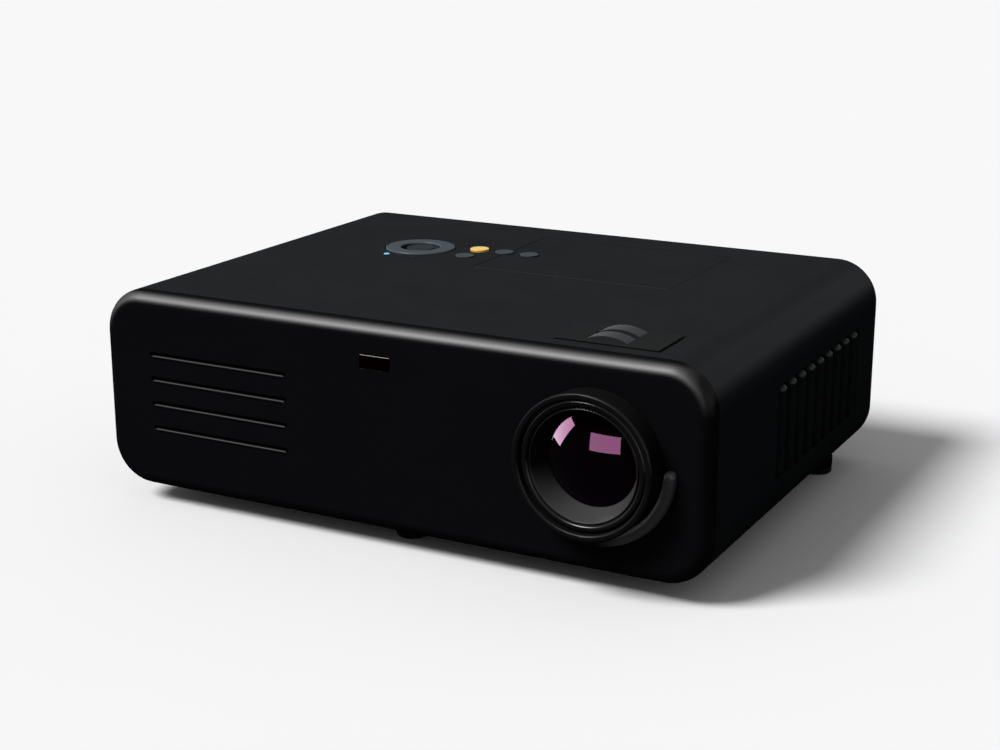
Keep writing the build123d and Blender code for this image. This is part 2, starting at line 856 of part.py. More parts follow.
# Side vents: half-round bars with domed ends, on a plate behind the opening
with BuildPart() as right_vent:
    with BuildSketch(sideways(side_x - wall)):
        with Locations((vent_y, vent_z)):
            Rectangle(vent_length + 2 * vent_flange, vent_height + vent_flange)
            with GridLocations(vent_pitch, vent_height, vent_bars - 1, 1):
                Rectangle(vent_pitch - vent_web, vent_height - 2 * vent_rail, mode=Mode.SUBTRACT)
    extrude(amount=-vent_plate)
    bar_x = side_x + bar_proud - bar_radius
    bar_length = vent_height - 2 * bar_end_gap - 2 * bar_radius
    for number in range(vent_bars):
        bar_y = vent_y + (number - (vent_bars - 1) / 2) * vent_pitch
        with Locations((bar_x, bar_y, vent_z)):
            Cylinder(bar_radius, bar_length)
        with Locations((bar_x, bar_y, vent_z + bar_length / 2), (bar_x, bar_y, vent_z - bar_length / 2)):
            Sphere(bar_radius)
    split(bisect_by=Plane(origin=(side_x - wall - vent_plate, 0, 0), z_dir=(1, 0, 0)), keep=Keep.TOP)
keep("right_vent", right_vent)
with BuildPart() as left_vent:
    mirror(right_vent.part, about=Plane.YZ)
keep("left_vent", left_vent)

# Lamp cover, cut away round the two keys that stand in it
with BuildPart() as lamp_cover:
    with BuildSketch(Plane.XY.offset(roof_z - lamp_cover_thickness)):
        with Locations((lamp_cover_x, lamp_cover_y)):
            RectangleRounded(lamp_cover_width, lamp_cover_depth, lamp_cover_corner)
        with Locations([(x, front_y + y) for x, y in (source_key_place, auto_key_place)]):
            Circle(key_radius + key_gap, mode=Mode.SUBTRACT)
    extrude(amount=lamp_cover_thickness)
keep("lamp_cover", lamp_cover)

# Raised plate round the thumbwheels, with a collar in the roof opening
with BuildPart() as wheel_plate:
    with BuildSketch(Plane.XY.offset(roof_z)):
        with Locations((plate_x, front_y + plate_front + plate_depth / 2)):
            Rectangle(plate_width, plate_depth)
    extrude(amount=plate_rise)
    with BuildSketch(Plane.XY.offset(roof_z)):
        with Locations((wheel_x, plate_y)):
            Rectangle(roof_window + 2 * plate_collar, plate_window_depth + 2 * plate_collar)
            Rectangle(roof_window, plate_window_depth, mode=Mode.SUBTRACT)
    extrude(amount=-wall)
    with BuildSketch(Plane.XY.offset(roof_z + plate_rise)):
        with Locations((wheel_x, plate_y)):
            Rectangle(plate_window, plate_window_depth)
    extrude(amount=-plate_rise, mode=Mode.SUBTRACT)
keep("wheel_plate", wheel_plate)


def draw_teeth(centre, pitch_radius, angles):
    """Straight-sided gear teeth on the open sketch, one at each angle in degrees."""
    half_pitch = (math.pi * tooth_module / 2 - tooth_backlash) / 2
    slope = math.tan(math.radians(flank_angle))
    tip = pitch_radius + tooth_addendum
    root = pitch_radius - tooth_dedendum
    half_tip = half_pitch - tooth_addendum * slope
    half_root = half_pitch + tooth_dedendum * slope
    foot = root - tooth_addendum / 2
    for angle in angles:
        with Locations(Location((centre[0], centre[1], 0), (0, 0, angle))):
            Polygon(
                (foot, -half_root),
                (root, -half_root),
                (tip, -half_tip),
                (tip, half_tip),
                (root, half_root),
                (foot, half_root),
                align=None,
            )


# Thumbwheels: a rim over the window, a thin web, a hub and a short toothed sector below
mesh_angle = math.degrees(math.atan2(lens_z - wheel_z, wheel_offset))
wheel_tooth_step = 360 / wheel_teeth
ring_tooth_step = 360 / ring_teeth
wheel_pitch_radius = tooth_module * wheel_teeth / 2
ring_pitch_radius = tooth_module * ring_teeth / 2
sector_start = 90 - wheel_half_angle
rim_inside = wheel_radius - wheel_rim
wheel_tooth_angles = [
    mesh_angle + number * wheel_tooth_step for number in range(-wheel_tooth_span, wheel_tooth_span + 1)
]
ring_tooth_angles = [
    mesh_angle + 180 + (number + 0.5) * ring_tooth_step for number in range(-ring_tooth_span, ring_tooth_span)
]
for wheel_name, wheel_y in wheel_fronts.items():
    with BuildPart() as wheel:
        with BuildSketch(upright(wheel_y + wheel_width)):
            with BuildLine():
                outer = CenterArc((wheel_x, wheel_z), wheel_radius, sector_start, 2 * wheel_half_angle)
                inner = CenterArc((wheel_x, wheel_z), rim_inside, sector_start, 2 * wheel_half_angle)
                Line(outer @ 0, inner @ 0)
                Line(outer @ 1, inner @ 1)
            make_face()
            with Locations((wheel_x, wheel_z)):
                Circle(wheel_hub)
        extrude(amount=wheel_width)
        with BuildSketch(upright(wheel_y + (wheel_width + wheel_web) / 2)):
            with BuildLine():
                edge = CenterArc(
                    (wheel_x, wheel_z), wheel_radius - wheel_rim / 2, sector_start, 2 * wheel_half_angle
                )
                Line((wheel_x, wheel_z), edge @ 0)
                Line((wheel_x, wheel_z), edge @ 1)
            make_face()
        extrude(amount=wheel_web)
        with BuildSketch(upright(wheel_y + (wheel_width + tooth_width) / 2)):
            with Locations((wheel_x, wheel_z)):
                Circle(wheel_pitch_radius - tooth_dedendum)
            draw_teeth((wheel_x, wheel_z), wheel_pitch_radius, wheel_tooth_angles)
        extrude(amount=tooth_width)
        with BuildSketch(upright(wheel_y + wheel_width)):
            with Locations((wheel_x, wheel_z)):
                Circle(shaft_radius + running_fit)
        extrude(amount=wheel_width, mode=Mode.SUBTRACT)
    keep(wheel_name + "_wheel", wheel)
    with BuildPart() as ring:
        with BuildSketch(upright(wheel_y + (wheel_width + ring_length) / 2)):
            with Locations((lens_x, lens_z)):
                Circle(ring_pitch_radius - tooth_dedendum)
                Circle(barrel_radius + running_fit, mode=Mode.SUBTRACT)
        extrude(amount=ring_length)
        with BuildSketch(upright(wheel_y + (wheel_width + tooth_width) / 2)):
            draw_teeth((lens_x, lens_z), ring_pitch_radius, ring_tooth_angles)
        extrude(amount=tooth_width)
    keep(wheel_name + "_ring", ring)

# Shaft of both wheels, held by a bracket under the roof
bracket_front = wheels_front - wheel_gap
bracket_back = wheels_back + wheel_gap
bracket_y = (bracket_front + bracket_back) / 2
bracket_depth = bracket_back - bracket_front
frame_half = wheel_radius + loose_fit
with BuildPart() as wheel_shaft:
    with BuildSketch(upright(bracket_back + cheek)):
        with Locations((wheel_x, wheel_z)):
            Circle(shaft_radius)
    extrude(amount=bracket_depth + 2 * cheek)
keep("wheel_shaft", wheel_shaft)
with BuildPart() as wheel_bracket:
    with BuildSketch(Plane.XY.offset(inner_roof)):
        with Locations((wheel_x, bracket_y)):
            Rectangle(2 * (frame_half + cheek), bracket_depth + 2 * cheek)
            Rectangle(2 * frame_half, bracket_depth, mode=Mode.SUBTRACT)
    extrude(amount=-cheek)
    for cheek_y in (bracket_front, bracket_back + cheek):
        with BuildSketch(upright(cheek_y)):
            with Locations((wheel_x, wheel_z)):
                Circle(cheek_width / 2)
                Rectangle(cheek_width, inner_roof - wheel_z, align=(Align.CENTER, Align.MIN))
                Circle(shaft_radius, mode=Mode.SUBTRACT)
        extrude(amount=cheek)
keep("wheel_bracket", wheel_bracket)


def turned(name, outline, rounds=0.0):
    """A piece turned about the lens axis from (radius, distance behind the front) corners."""
    with BuildPart() as piece:
        with BuildSketch(Plane.XY.offset(lens_z)):
            with BuildLine():
                Polyline([(lens_x + radius, front_y + depth) for radius, depth in outline], close=True)
            make_face()
        revolve(axis=lens_axis)
        if rounds:
            fillet(piece.edges().sort_by(Axis.Y)[:2], rounds)
    keep(name, piece)


# Lens: hood, sliding front cell with its glass, barrel, and the zoom cell inside it
turned(
    "lens_hood",
    [
        (hood_bore, -lens_reach),
        (hood_lip_radius, -lens_reach),
        (hood_lip_radius, -lens_reach + hood_lip_length),
        (hood_radius, -lens_reach + hood_lip_length + hood_lip_radius - hood_radius),
        (hood_radius, front_wall),
        (hood_flange_radius, front_wall),
        (hood_flange_radius, front_wall + hood_flange),
        (hood_radius, front_wall + hood_flange),
        (hood_radius, hood_length_inside),
        (hood_bore, hood_length_inside),
    ],
    hood_lip_round,
)
cell_radius = hood_bore - running_fit
cell_front = -lens_reach + cell_set_back
glass_front = cell_front + glass_set_back
turned(
    "lens_cell",
    [
        (cell_radius, cell_front + cell_lip),
        (cell_radius - cell_lip / 2, cell_front),
        (cone_front_radius + cell_lip / 2, cell_front),
        (cone_front_radius, cell_front + cell_lip / 2),
        (glass_radius, glass_front - glass_lip),
        (glass_radius, glass_front),
        (glass_radius + glass_lip + seat_fit, glass_front),
        (glass_radius + glass_lip + seat_fit, glass_front + glass_edge + glass_lip),
        (cell_radius, glass_front + glass_edge + glass_lip),
    ],
)
with BuildPart() as front_lens:
    with BuildSketch(Plane.XY.offset(lens_z)):
        with BuildLine():
            crown_top = (lens_x, front_y + glass_front - glass_crown)
            crown_edge = (lens_x + glass_radius - seat_fit, front_y + glass_front)
            crown_bulge = glass_radius**2 / (2 * glass_crown) + glass_crown / 2
            crown = RadiusArc(crown_top, crown_edge, crown_bulge)
            back = Polyline(
                crown @ 1,
                (lens_x + glass_radius + glass_lip, front_y + glass_front),
                (lens_x + glass_radius + glass_lip, front_y + glass_front + glass_edge),
                (lens_x, front_y + glass_front + glass_edge),
                crown @ 0,
            )
        make_face()
    revolve(axis=lens_axis)
keep("front_lens", front_lens)
turned(
    "lens_barrel",
    [
        (barrel_bore, hood_length_inside),
        (hood_radius, hood_length_inside),
        (hood_radius, hood_length_inside + barrel_plate),
        (barrel_radius, hood_length_inside + barrel_plate),
        (barrel_radius, barrel_end - barrel_plate),
        (mount_flange_radius, barrel_end - barrel_plate),
        (mount_flange_radius, barrel_end),
        (barrel_bore, barrel_end),
    ],
)
turned(
    "zoom_cell",
    [
        (zoom_glass_radius + running_fit, zoom_cell_y - zoom_cell_length / 2),
        (barrel_bore - running_fit, zoom_cell_y - zoom_cell_length / 2),
        (barrel_bore - running_fit, zoom_cell_y + zoom_cell_length / 2),
        (zoom_glass_radius + running_fit, zoom_cell_y + zoom_cell_length / 2),
    ],
)
with BuildPart() as zoom_lens:
    with BuildSketch(upright(front_y + zoom_cell_y + zoom_glass_thickness / 2)):
        with Locations((lens_x, lens_z)):
            Circle(zoom_glass_radius)
    extrude(amount=zoom_glass_thickness)
keep("zoom_lens", zoom_lens)

# Keys: a round cap, a flange that stops it under the roof, and a stem above its switch
flange_top = pad_floor - seat_fit
deck_z = roof_z - deck_drop
board_top = deck_z - deck_thickness
switch_top = board_top + deck_thickness + switch_height
for key_name, ((key_x, key_back), rise) in keys.items():
    with BuildPart() as key:
        with BuildSketch(Plane.XY.offset(flange_top - key_flange_thickness)):
            with Locations((key_x, front_y + key_back)):
                Circle(key_radius)
        extrude(amount=roof_z + rise - flange_top + key_flange_thickness)
        fillet(key.edges().group_by(Axis.Z)[-1], key_round)
        with BuildSketch(Plane.XY.offset(flange_top)):
            with Locations((key_x, front_y + key_back)):
                Circle(key_radius + key_flange)
        extrude(amount=-key_flange_thickness)
        with BuildSketch(Plane.XY.offset(flange_top)):
            with Locations((key_x, front_y + key_back)):
                Circle(key_stem)
        extrude(amount=switch_top + key_travel + loose_fit - flange_top)
    keep(key_name, key)

# Four-way ring on its gimbal, and the select button in the middle
ring_centre = (pad_x, front_y + pad_y)
pivot_z = roof_z - gimbal_drop
ear_radius = gimbal_outer + running_fit + ear_gap + ear_thickness / 2
with BuildPart() as control_ring:
    with BuildSketch(Plane.XY.offset(roof_z + ring_rise)):
        with Locations(ring_centre):
            Circle(ring_radius)
            Circle(ring_opening, mode=Mode.SUBTRACT)
    extrude(amount=-ring_thickness)
    fillet(control_ring.edges().group_by(Axis.Z)[-1], ring_round)
    with BuildSketch(Plane.XY.offset(pivot_z - pivot_radius - ear_gap)):
        with Locations(ring_centre):
            with GridLocations(1, 2 * ear_radius, 1, 2):
                Rectangle(ear_width, ear_thickness)
    extrude(amount=roof_z + ring_rise - ring_thickness - pivot_z + pivot_radius + ear_gap)
    with BuildSketch(upright(ring_centre[1] + ring_radius)):
        with Locations((pad_x, pivot_z)):
            Circle(pivot_radius + running_fit)
    extrude(amount=2 * ring_radius, mode=Mode.SUBTRACT)
keep("control_ring", control_ring)
with BuildPart() as pad_gimbal:
    with BuildSketch(Plane.XY.offset(pivot_z + gimbal_thickness / 2)):
        with Locations(ring_centre):
            Circle(gimbal_outer)
            Circle(gimbal_inner, mode=Mode.SUBTRACT)
    extrude(amount=-gimbal_thickness)
    pin_reach = ear_radius + ear_thickness / 2
    for pin_side in (-1, 1):
        with BuildSketch(upright(ring_centre[1] + pin_side * (gimbal_inner + gimbal_outer) / 2)):
            with Locations((pad_x, pivot_z)):
                Circle(pivot_radius)
        extrude(amount=-pin_side * (pin_reach - (gimbal_inner + gimbal_outer) / 2))
        with BuildSketch(sideways(pad_x + pin_side * (gimbal_inner + gimbal_outer) / 2)):
            with Locations((ring_centre[1], pivot_z)):
                Circle(pivot_radius)
        extrude(amount=pin_side * (pin_reach - (gimbal_inner + gimbal_outer) / 2))
keep("pad_gimbal", pad_gimbal)
tube_top = roof_z + select_rise - select_thickness - select_travel - loose_fit
with BuildPart() as select_button:
    with BuildSketch(Plane.XY.offset(roof_z + select_rise)):
        with Locations(ring_centre):
            Circle(select_radius)
    extrude(amount=-select_thickness)
    fillet(select_button.edges().group_by(Axis.Z)[-1], ring_round)
    with BuildSketch(Plane.XY.offset(roof_z + select_rise - select_thickness)):
        with Locations(ring_centre):
            Circle(select_stem)
    extrude(amount=-select_stem_length)
keep("select_button", select_button)

# Deck under the controls, with the guide tube, the ring's bearings and its posts
deck_left = pad_x - ring_radius - deck_margin
deck_right = opening_left - loose_fit
deck_front = front_y + led_y - deck_margin
deck_back = front_y + auto_key_place[1] + key_radius + deck_margin
post_places = [
    (x, y)
    for x in (deck_left + post_radius, deck_right - post_radius)
    for y in (deck_front + post_radius, deck_back - post_radius)
]
led_places = [(x, front_y + led_y) for x in leds]
key_places = [(place[0], front_y + place[1]) for place, rise in keys.values()]
with BuildPart() as key_deck:
    with BuildSketch(Plane.XY.offset(deck_z)):
        with Locations((deck_left, deck_front)):
            Rectangle(deck_right - deck_left, deck_back - deck_front, align=Align.MIN)
    extrude(amount=-deck_thickness)
    with BuildSketch(Plane.XY.offset(deck_z)):
        with Locations(post_places):
            Circle(post_radius)
    extrude(amount=pad_floor - deck_z)
    with BuildSketch(Plane.XY.offset(deck_z)):
        with Locations(ring_centre):
            Circle(select_stem + tube_wall)
    extrude(amount=tube_top - deck_z)
    with BuildSketch(Plane.XY.offset(deck_z)):
        with Locations(ring_centre):
            with GridLocations(2 * ear_radius, 1, 2, 1):
                Rectangle(ear_thickness, ear_width)
    extrude(amount=pivot_z + pivot_radius + ear_gap - deck_z)
    for bearing_side in (-1, 1):
        with BuildSketch(sideways(pad_x + bearing_side * (ear_radius + ear_thickness / 2))):
            with Locations((ring_centre[1], pivot_z)):
                Circle(pivot_radius + running_fit)
        extrude(amount=-bearing_side * ear_thickness, mode=Mode.SUBTRACT)
    with BuildSketch(Plane.XY.offset(deck_z - deck_thickness)):
        with Locations(ring_centre):
            Circle(select_stem + running_fit)
        with Locations(led_places):
            Circle(led_radius + loose_fit)
        with Locations(key_places):
            Rectangle(switch_size + loose_fit, switch_size + loose_fit)
    extrude(amount=tube_top - deck_z + deck_thickness, mode=Mode.SUBTRACT)
keep("key_deck", key_deck)
with BuildPart() as key_board:
    with BuildSketch(Plane.XY.offset(board_top)):
        with Locations((deck_left, deck_front)):
            Rectangle(deck_right - deck_left, deck_back - deck_front, align=Align.MIN)
    extrude(amount=-board_thickness)
    with BuildSketch(Plane.XY.offset(board_top)):
        with Locations(key_places):
            Rectangle(switch_size, switch_size)
    extrude(amount=switch_top - board_top)
keep("key_board", key_board)

# Light guides of the status lamps, standing on the board
with BuildPart() as power_led:
    with BuildSketch(Plane.XY.offset(board_top)):
        with Locations(led_places[:1]):
            Circle(led_radius)
    extrude(amount=roof_z + led_rise - board_top)
keep("power_led", power_led)
with BuildPart() as alert_leds:
    with BuildSketch(Plane.XY.offset(board_top)):
        with Locations(led_places[1:]):
            Circle(led_radius)
    extrude(amount=roof_z + led_rise - board_top)
keep("alert_leds", alert_leds)


def fan(name, plane):
    """An axial fan whose plane lies in its outlet face, with its rotor on a fixed pin."""
    bore = fan_size / 2 - fan_wall
    hub_depth = fan_depth - fan_strut - loose_fit
    with BuildPart() as fan_frame:
        with BuildSketch(plane):
            RectangleRounded(fan_size, fan_size, fan_wall)
            Circle(bore, mode=Mode.SUBTRACT)
            with GridLocations(fan_size - 2 * fan_screw_inset, fan_size - 2 * fan_screw_inset, 2, 2):
                Circle(fan_screw_hole, mode=Mode.SUBTRACT)
        extrude(amount=fan_depth)
        with BuildSketch(plane):
            Circle(fan_hub)
            with PolarLocations(0, fan_strut_count):
                Rectangle(bore + fan_wall / 2, fan_strut, align=(Align.MIN, Align.CENTER))
        extrude(amount=fan_strut)
        with BuildSketch(plane):
            Circle(fan_pin)
        extrude(amount=fan_strut + fan_pin_length)
    keep(name + "_frame", fan_frame)
    with BuildPart() as fan_rotor:
        with BuildSketch(plane.offset(fan_strut + loose_fit)):
            Circle(fan_hub)
        extrude(amount=hub_depth)
        blade_root = fan_hub - fan_blade_sink
        blade_length = bore - fan_tip_gap - blade_root
        middle = fan_strut + loose_fit + hub_depth / 2
        half_blade = (hub_depth / 2 - fan_blade_thickness) / math.cos(math.radians(fan_blade_pitch))
        for number in range(fan_blades):
            turn = math.radians(number * 360 / fan_blades)
            radial = plane.x_dir * math.cos(turn) + plane.y_dir * math.sin(turn)
            root = plane.origin + radial * blade_root + plane.z_dir * middle
            with BuildSketch(Plane(origin=root, x_dir=plane.z_dir, z_dir=radial)):
                with Locations(Location((0, 0, 0), (0, 0, fan_blade_pitch))):
                    SlotCenterToCenter(2 * half_blade, fan_blade_thickness)
            extrude(amount=blade_length)
        with BuildSketch(plane.offset(fan_strut)):
            Circle(fan_pin + running_fit)
        extrude(amount=fan_pin_length + loose_fit, mode=Mode.SUBTRACT)
    keep(name + "_rotor", fan_rotor)


# The intake fan stands behind the louvre and the lamp fan behind the right-hand vent
intake_place = (louvre_x, front_y + intake_fan_back, fan_z)
outlet_place = (lamp_fan_x + fan_depth / 2, front_y + lamp_fan_y, fan_z)
fan("intake_fan", Plane(origin=intake_place, x_dir=(1, 0, 0), z_dir=(0, 1, 0)))
fan("lamp_fan", Plane(origin=outlet_place, x_dir=(0, 1, 0), z_dir=(-1, 0, 0)))

# Lamp module: a box with a round mouth, air slots, a carrying handle, the reflector and the burner
lamp_top = shelf_z + lamp_height
lamp_face = front_y + lamp_front
lamp_axis = Axis((lamp_x, lamp_face, lens_z), (0, 1, 0))
with BuildPart() as lamp_housing:
    with BuildSketch(Plane.XY.offset(shelf_z)):
        with Locations((lamp_x, lamp_y)):
            RectangleRounded(lamp_width, lamp_depth, lamp_corner)
    extrude(amount=lamp_height)
    with BuildSketch(Plane.XY.offset(shelf_z + lamp_wall)):
        with Locations((lamp_x, lamp_y)):
            Rectangle(lamp_width - 2 * lamp_wall, lamp_depth - 2 * lamp_wall)
    extrude(amount=lamp_height - 2 * lamp_wall, mode=Mode.SUBTRACT)
    with BuildSketch(upright(lamp_face)):
        with Locations((lamp_x, lens_z)):
            Circle(lamp_mouth)
    extrude(amount=-lamp_wall, mode=Mode.SUBTRACT)
    with BuildSketch(sideways(lamp_x + lamp_width / 2)):
        with Locations((lamp_y, lens_z)):
            with GridLocations(1, lamp_slot_pitch, 1, lamp_slots):
                SlotOverall(lamp_slot_length, lamp_slot_gap)
    extrude(amount=-lamp_wall, mode=Mode.SUBTRACT)
    with BuildSketch(upright(lamp_y + lamp_handle_bar / 2)):
        with Locations((lamp_x, lamp_top)):
            Rectangle(lamp_handle_width, lamp_handle_rise, align=(Align.CENTER, Align.MIN))
            Rectangle(
                lamp_handle_width - 2 * lamp_handle_bar,
                lamp_handle_rise - lamp_handle_bar,
                align=(Align.CENTER, Align.MIN),
                mode=Mode.SUBTRACT,
            )
    extrude(amount=lamp_handle_bar)
keep("lamp_housing", lamp_housing)
reflector_front = lamp_face + lamp_wall
reflector_back = reflector_front + reflector_depth
neck_radius = burner_radius + seat_fit
bowl_middle = math.sqrt(0.5)
with BuildPart() as lamp_reflector:
    with BuildSketch(Plane.XY.offset(lens_z)):
        with BuildLine():
            bowl_inside = ThreePointArc(
                (lamp_x + lamp_mouth, reflector_front),
                (lamp_x + lamp_mouth * bowl_middle, reflector_front + reflector_depth / 2),
                (lamp_x + neck_radius, reflector_back),
            )
            bowl_outside = ThreePointArc(
                (lamp_x + neck_radius + reflector_wall, reflector_back + reflector_wall),
                (
                    lamp_x + lamp_mouth * bowl_middle + reflector_wall,
                    reflector_front + reflector_depth / 2 + reflector_wall,
                ),
                (lamp_x + lamp_mouth + reflector_wall, reflector_front + reflector_wall),
            )
            Polyline(
                bowl_inside @ 1,
                (lamp_x + neck_radius, reflector_back + reflector_wall),
                bowl_outside @ 0,
            )
            Polyline(
                bowl_outside @ 1,
                (lamp_x + lamp_mouth + 2 * reflector_wall, reflector_front + reflector_wall),
                (lamp_x + lamp_mouth + 2 * reflector_wall, reflector_front),
                bowl_inside @ 0,
            )
        make_face()
    revolve(axis=lamp_axis)
keep("lamp_reflector", lamp_reflector)
burner_end = reflector_back + burner_socket
with BuildPart() as lamp_burner:
    with BuildSketch(upright(burner_end)):
        with Locations((lamp_x, lens_z)):
            Circle(burner_tube)
    extrude(amount=burner_length)
    with BuildSketch(upright(burner_end)):
        with Locations((lamp_x, lens_z)):
            Circle(burner_radius)
    extrude(amount=burner_socket + reflector_wall / 2)
    with Locations((lamp_x, reflector_front + reflector_depth / 2, lens_z)):
        Sphere(burner_radius)
keep("lamp_burner", lamp_burner)

# Optical engine: its housing, the light rod, the colour wheel on its motor and the imager's heat sink
with BuildPart() as engine_housing:
    engine_depth = engine_back_y - engine_front_y
    engine_y = (engine_front_y + engine_back_y) / 2
    with BuildSketch(Plane.XY.offset(engine_floor)):
        with Locations((engine_x, engine_y)):
            Rectangle(engine_right - engine_left, engine_depth)
    extrude(amount=engine_height)
    with BuildSketch(Plane.XY.offset(engine_floor + engine_wall)):
        with Locations((engine_x, engine_y)):
            Rectangle(engine_right - engine_left - 2 * engine_wall, engine_depth - 2 * engine_wall)
    extrude(amount=engine_height - 2 * engine_wall, mode=Mode.SUBTRACT)
    with BuildSketch(upright(engine_front_y)):
        with Locations((lens_x, lens_z)):
            Circle(barrel_bore)
    extrude(amount=-engine_wall, mode=Mode.SUBTRACT)
    with BuildSketch(upright(engine_back_y)):
        with Locations((lamp_x, lens_z)):
            Rectangle(rod_width + 2 * seat_fit, rod_height + 2 * seat_fit)
    extrude(amount=engine_wall, mode=Mode.SUBTRACT)
keep("engine_housing", engine_housing)
with BuildPart() as light_rod:
    with BuildSketch(upright(engine_back_y)):
        with Locations((lamp_x, lens_z)):
            Rectangle(rod_width, rod_height)
    extrude(amount=engine_depth - engine_wall - rod_end_gap)
keep("light_rod", light_rod)
wheel_hub_z = lens_z + colour_wheel_offset
with BuildPart() as colour_motor:
    with BuildSketch(upright(engine_back_y)):
        with Locations((lamp_x, wheel_hub_z)):
            Circle(colour_motor_radius)
    extrude(amount=-colour_motor_length)
    with BuildSketch(upright(engine_back_y + colour_motor_length)):
        with Locations((lamp_x, wheel_hub_z)):
            Circle(colour_pin)
    extrude(amount=-colour_hub_length - 2 * loose_fit)
keep("colour_motor", colour_motor)
with BuildPart() as colour_wheel:
    with BuildSketch(upright(engine_back_y + colour_motor_length + loose_fit)):
        with Locations((lamp_x, wheel_hub_z)):
            Circle(colour_hub)
    extrude(amount=-colour_hub_length)
    with BuildSketch(upright(engine_back_y + colour_motor_length + loose_fit)):
        with Locations((lamp_x, wheel_hub_z)):
            Circle(colour_wheel_radius)
    extrude(amount=-colour_wheel_thickness)
    with BuildSketch(upright(engine_back_y + colour_motor_length + loose_fit)):
        with Locations((lamp_x, wheel_hub_z)):
            Circle(colour_pin + running_fit)
    extrude(amount=-colour_hub_length, mode=Mode.SUBTRACT)
keep("colour_wheel", colour_wheel)
with BuildPart() as imager_heatsink:
    with BuildSketch(upright(engine_back_y)):
        with Locations((lens_x, lens_z)):
            Rectangle(sink_width, sink_height)
    extrude(amount=-sink_base)
    with BuildSketch(upright(engine_back_y + sink_base)):
        with Locations((lens_x, lens_z)):
            with GridLocations((sink_width - fin_thickness) / (fin_count - 1), 1, fin_count, 1):
                Rectangle(fin_thickness, sink_height)
    extrude(amount=-fin_depth)
keep("imager_heatsink", imager_heatsink)

# Power supply and lamp ballast
board_z = floor_z + power_board_rise
parts_z = board_z + board_thickness
with BuildPart() as power_board:
    with BuildSketch(Plane.XY.offset(board_z)):
        with Locations((power_board_x, front_y + power_board_y)):
            Rectangle(power_board_width, power_board_depth)
    extrude(amount=board_thickness)
keep("power_board", power_board)
with BuildPart() as power_parts:
    with BuildSketch(Plane.XY.offset(parts_z)):
        with Locations((power_board_x, front_y + power_board_y)):
            Rectangle(transformer_width, transformer_width)
    extrude(amount=transformer_height)
    with BuildSketch(Plane.XY.offset(parts_z)):
        with Locations((power_board_x, front_y + power_board_y - power_board_depth / 2 + capacitor_inset)):
            with GridLocations(capacitor_pitch, 1, 2, 1):
                Circle(capacitor_radius)
    extrude(amount=capacitor_height)
    with BuildSketch(Plane.XY.offset(parts_z)):
        with Locations((power_board_x + power_board_width / 2 - power_sink_inset, front_y + power_board_y)):
            Rectangle(power_sink_thickness, power_sink_length)
    extrude(amount=power_sink_height)
keep("power_parts", power_parts)
with BuildPart() as lamp_ballast:
    with BuildSketch(Plane.XY.offset(shelf_z)):
        with Locations((ballast_x, front_y + ballast_y)):
            RectangleRounded(ballast_width, ballast_depth, ballast_corner)
    extrude(amount=ballast_height)
keep("lamp_ballast", lamp_ballast)

os.makedirs("parts", exist_ok=True)
for piece_name, piece in pieces.items():
    export_step(piece, "parts/" + piece_name + ".step")
    print(piece_name, len(piece.solids()), round(piece.volume))
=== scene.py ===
"""Looks for a small video projector: finishes for its mouldings, lens, keys, sockets and inner parts."""

import json
from functools import cache
from math import asin, atan2, cos, pi, radians, sin, tan

import bmesh
import bpy
from bpy.props import FloatProperty, FloatVectorProperty, PointerProperty
from bpy.types import Operator, Panel, PropertyGroup
from mathutils import Matrix, Quaternion, Vector

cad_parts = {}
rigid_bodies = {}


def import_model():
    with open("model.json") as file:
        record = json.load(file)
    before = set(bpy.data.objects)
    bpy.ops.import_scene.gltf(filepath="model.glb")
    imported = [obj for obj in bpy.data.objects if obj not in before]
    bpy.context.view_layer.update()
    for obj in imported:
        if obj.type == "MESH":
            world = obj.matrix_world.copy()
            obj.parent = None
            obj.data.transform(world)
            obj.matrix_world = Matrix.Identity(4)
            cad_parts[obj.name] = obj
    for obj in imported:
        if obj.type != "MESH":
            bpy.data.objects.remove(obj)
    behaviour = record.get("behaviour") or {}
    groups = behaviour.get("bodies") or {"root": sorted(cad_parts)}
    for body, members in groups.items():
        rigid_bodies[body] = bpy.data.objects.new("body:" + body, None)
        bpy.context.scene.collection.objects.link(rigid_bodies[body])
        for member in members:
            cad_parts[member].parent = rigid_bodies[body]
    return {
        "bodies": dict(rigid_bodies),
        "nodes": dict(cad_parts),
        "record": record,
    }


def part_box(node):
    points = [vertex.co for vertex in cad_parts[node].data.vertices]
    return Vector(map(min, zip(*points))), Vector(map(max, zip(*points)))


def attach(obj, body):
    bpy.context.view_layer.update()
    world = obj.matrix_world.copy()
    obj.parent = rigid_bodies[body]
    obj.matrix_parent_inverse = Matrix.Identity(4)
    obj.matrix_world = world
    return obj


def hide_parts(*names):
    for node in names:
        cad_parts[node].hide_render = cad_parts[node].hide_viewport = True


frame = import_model()

bl_info = {
    "name": "Video Projector",
    "version": (1, 0, 0),
    "blender": (4, 5, 0),
    "location": "View3D > Sidebar > Projector",
    "description": "Dresses the projector's frame with its finishes and fine pieces",
    "category": "Object",
}

MM = 0.001
WELD = 1e-6
COAT_INDEX = 1.85
RUBBED = 1.35
MIRRORS = "seen in the glass"
NODES = frame["nodes"]
BODY_OF = {node: body for body, nodes in frame["record"]["behaviour"]["bodies"].items() for node in nodes}


def corner(node, high=False):
    """One corner of a node's box at rest."""
    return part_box(node)[1 if high else 0]


def middle(node):
    """The centre of a node's box at rest."""
    low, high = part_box(node)
    return (low + high) / 2


def in_mm(node):
    """The low and the high corner of a node's box at rest, in millimetres."""
    low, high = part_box(node)
    return low / MM, high / MM


# Settings


def colour(name, part, default):
    text = "Colour of the " + part
    return FloatVectorProperty(name=name, description=text, default=default, subtype="COLOR", min=0, max=1)


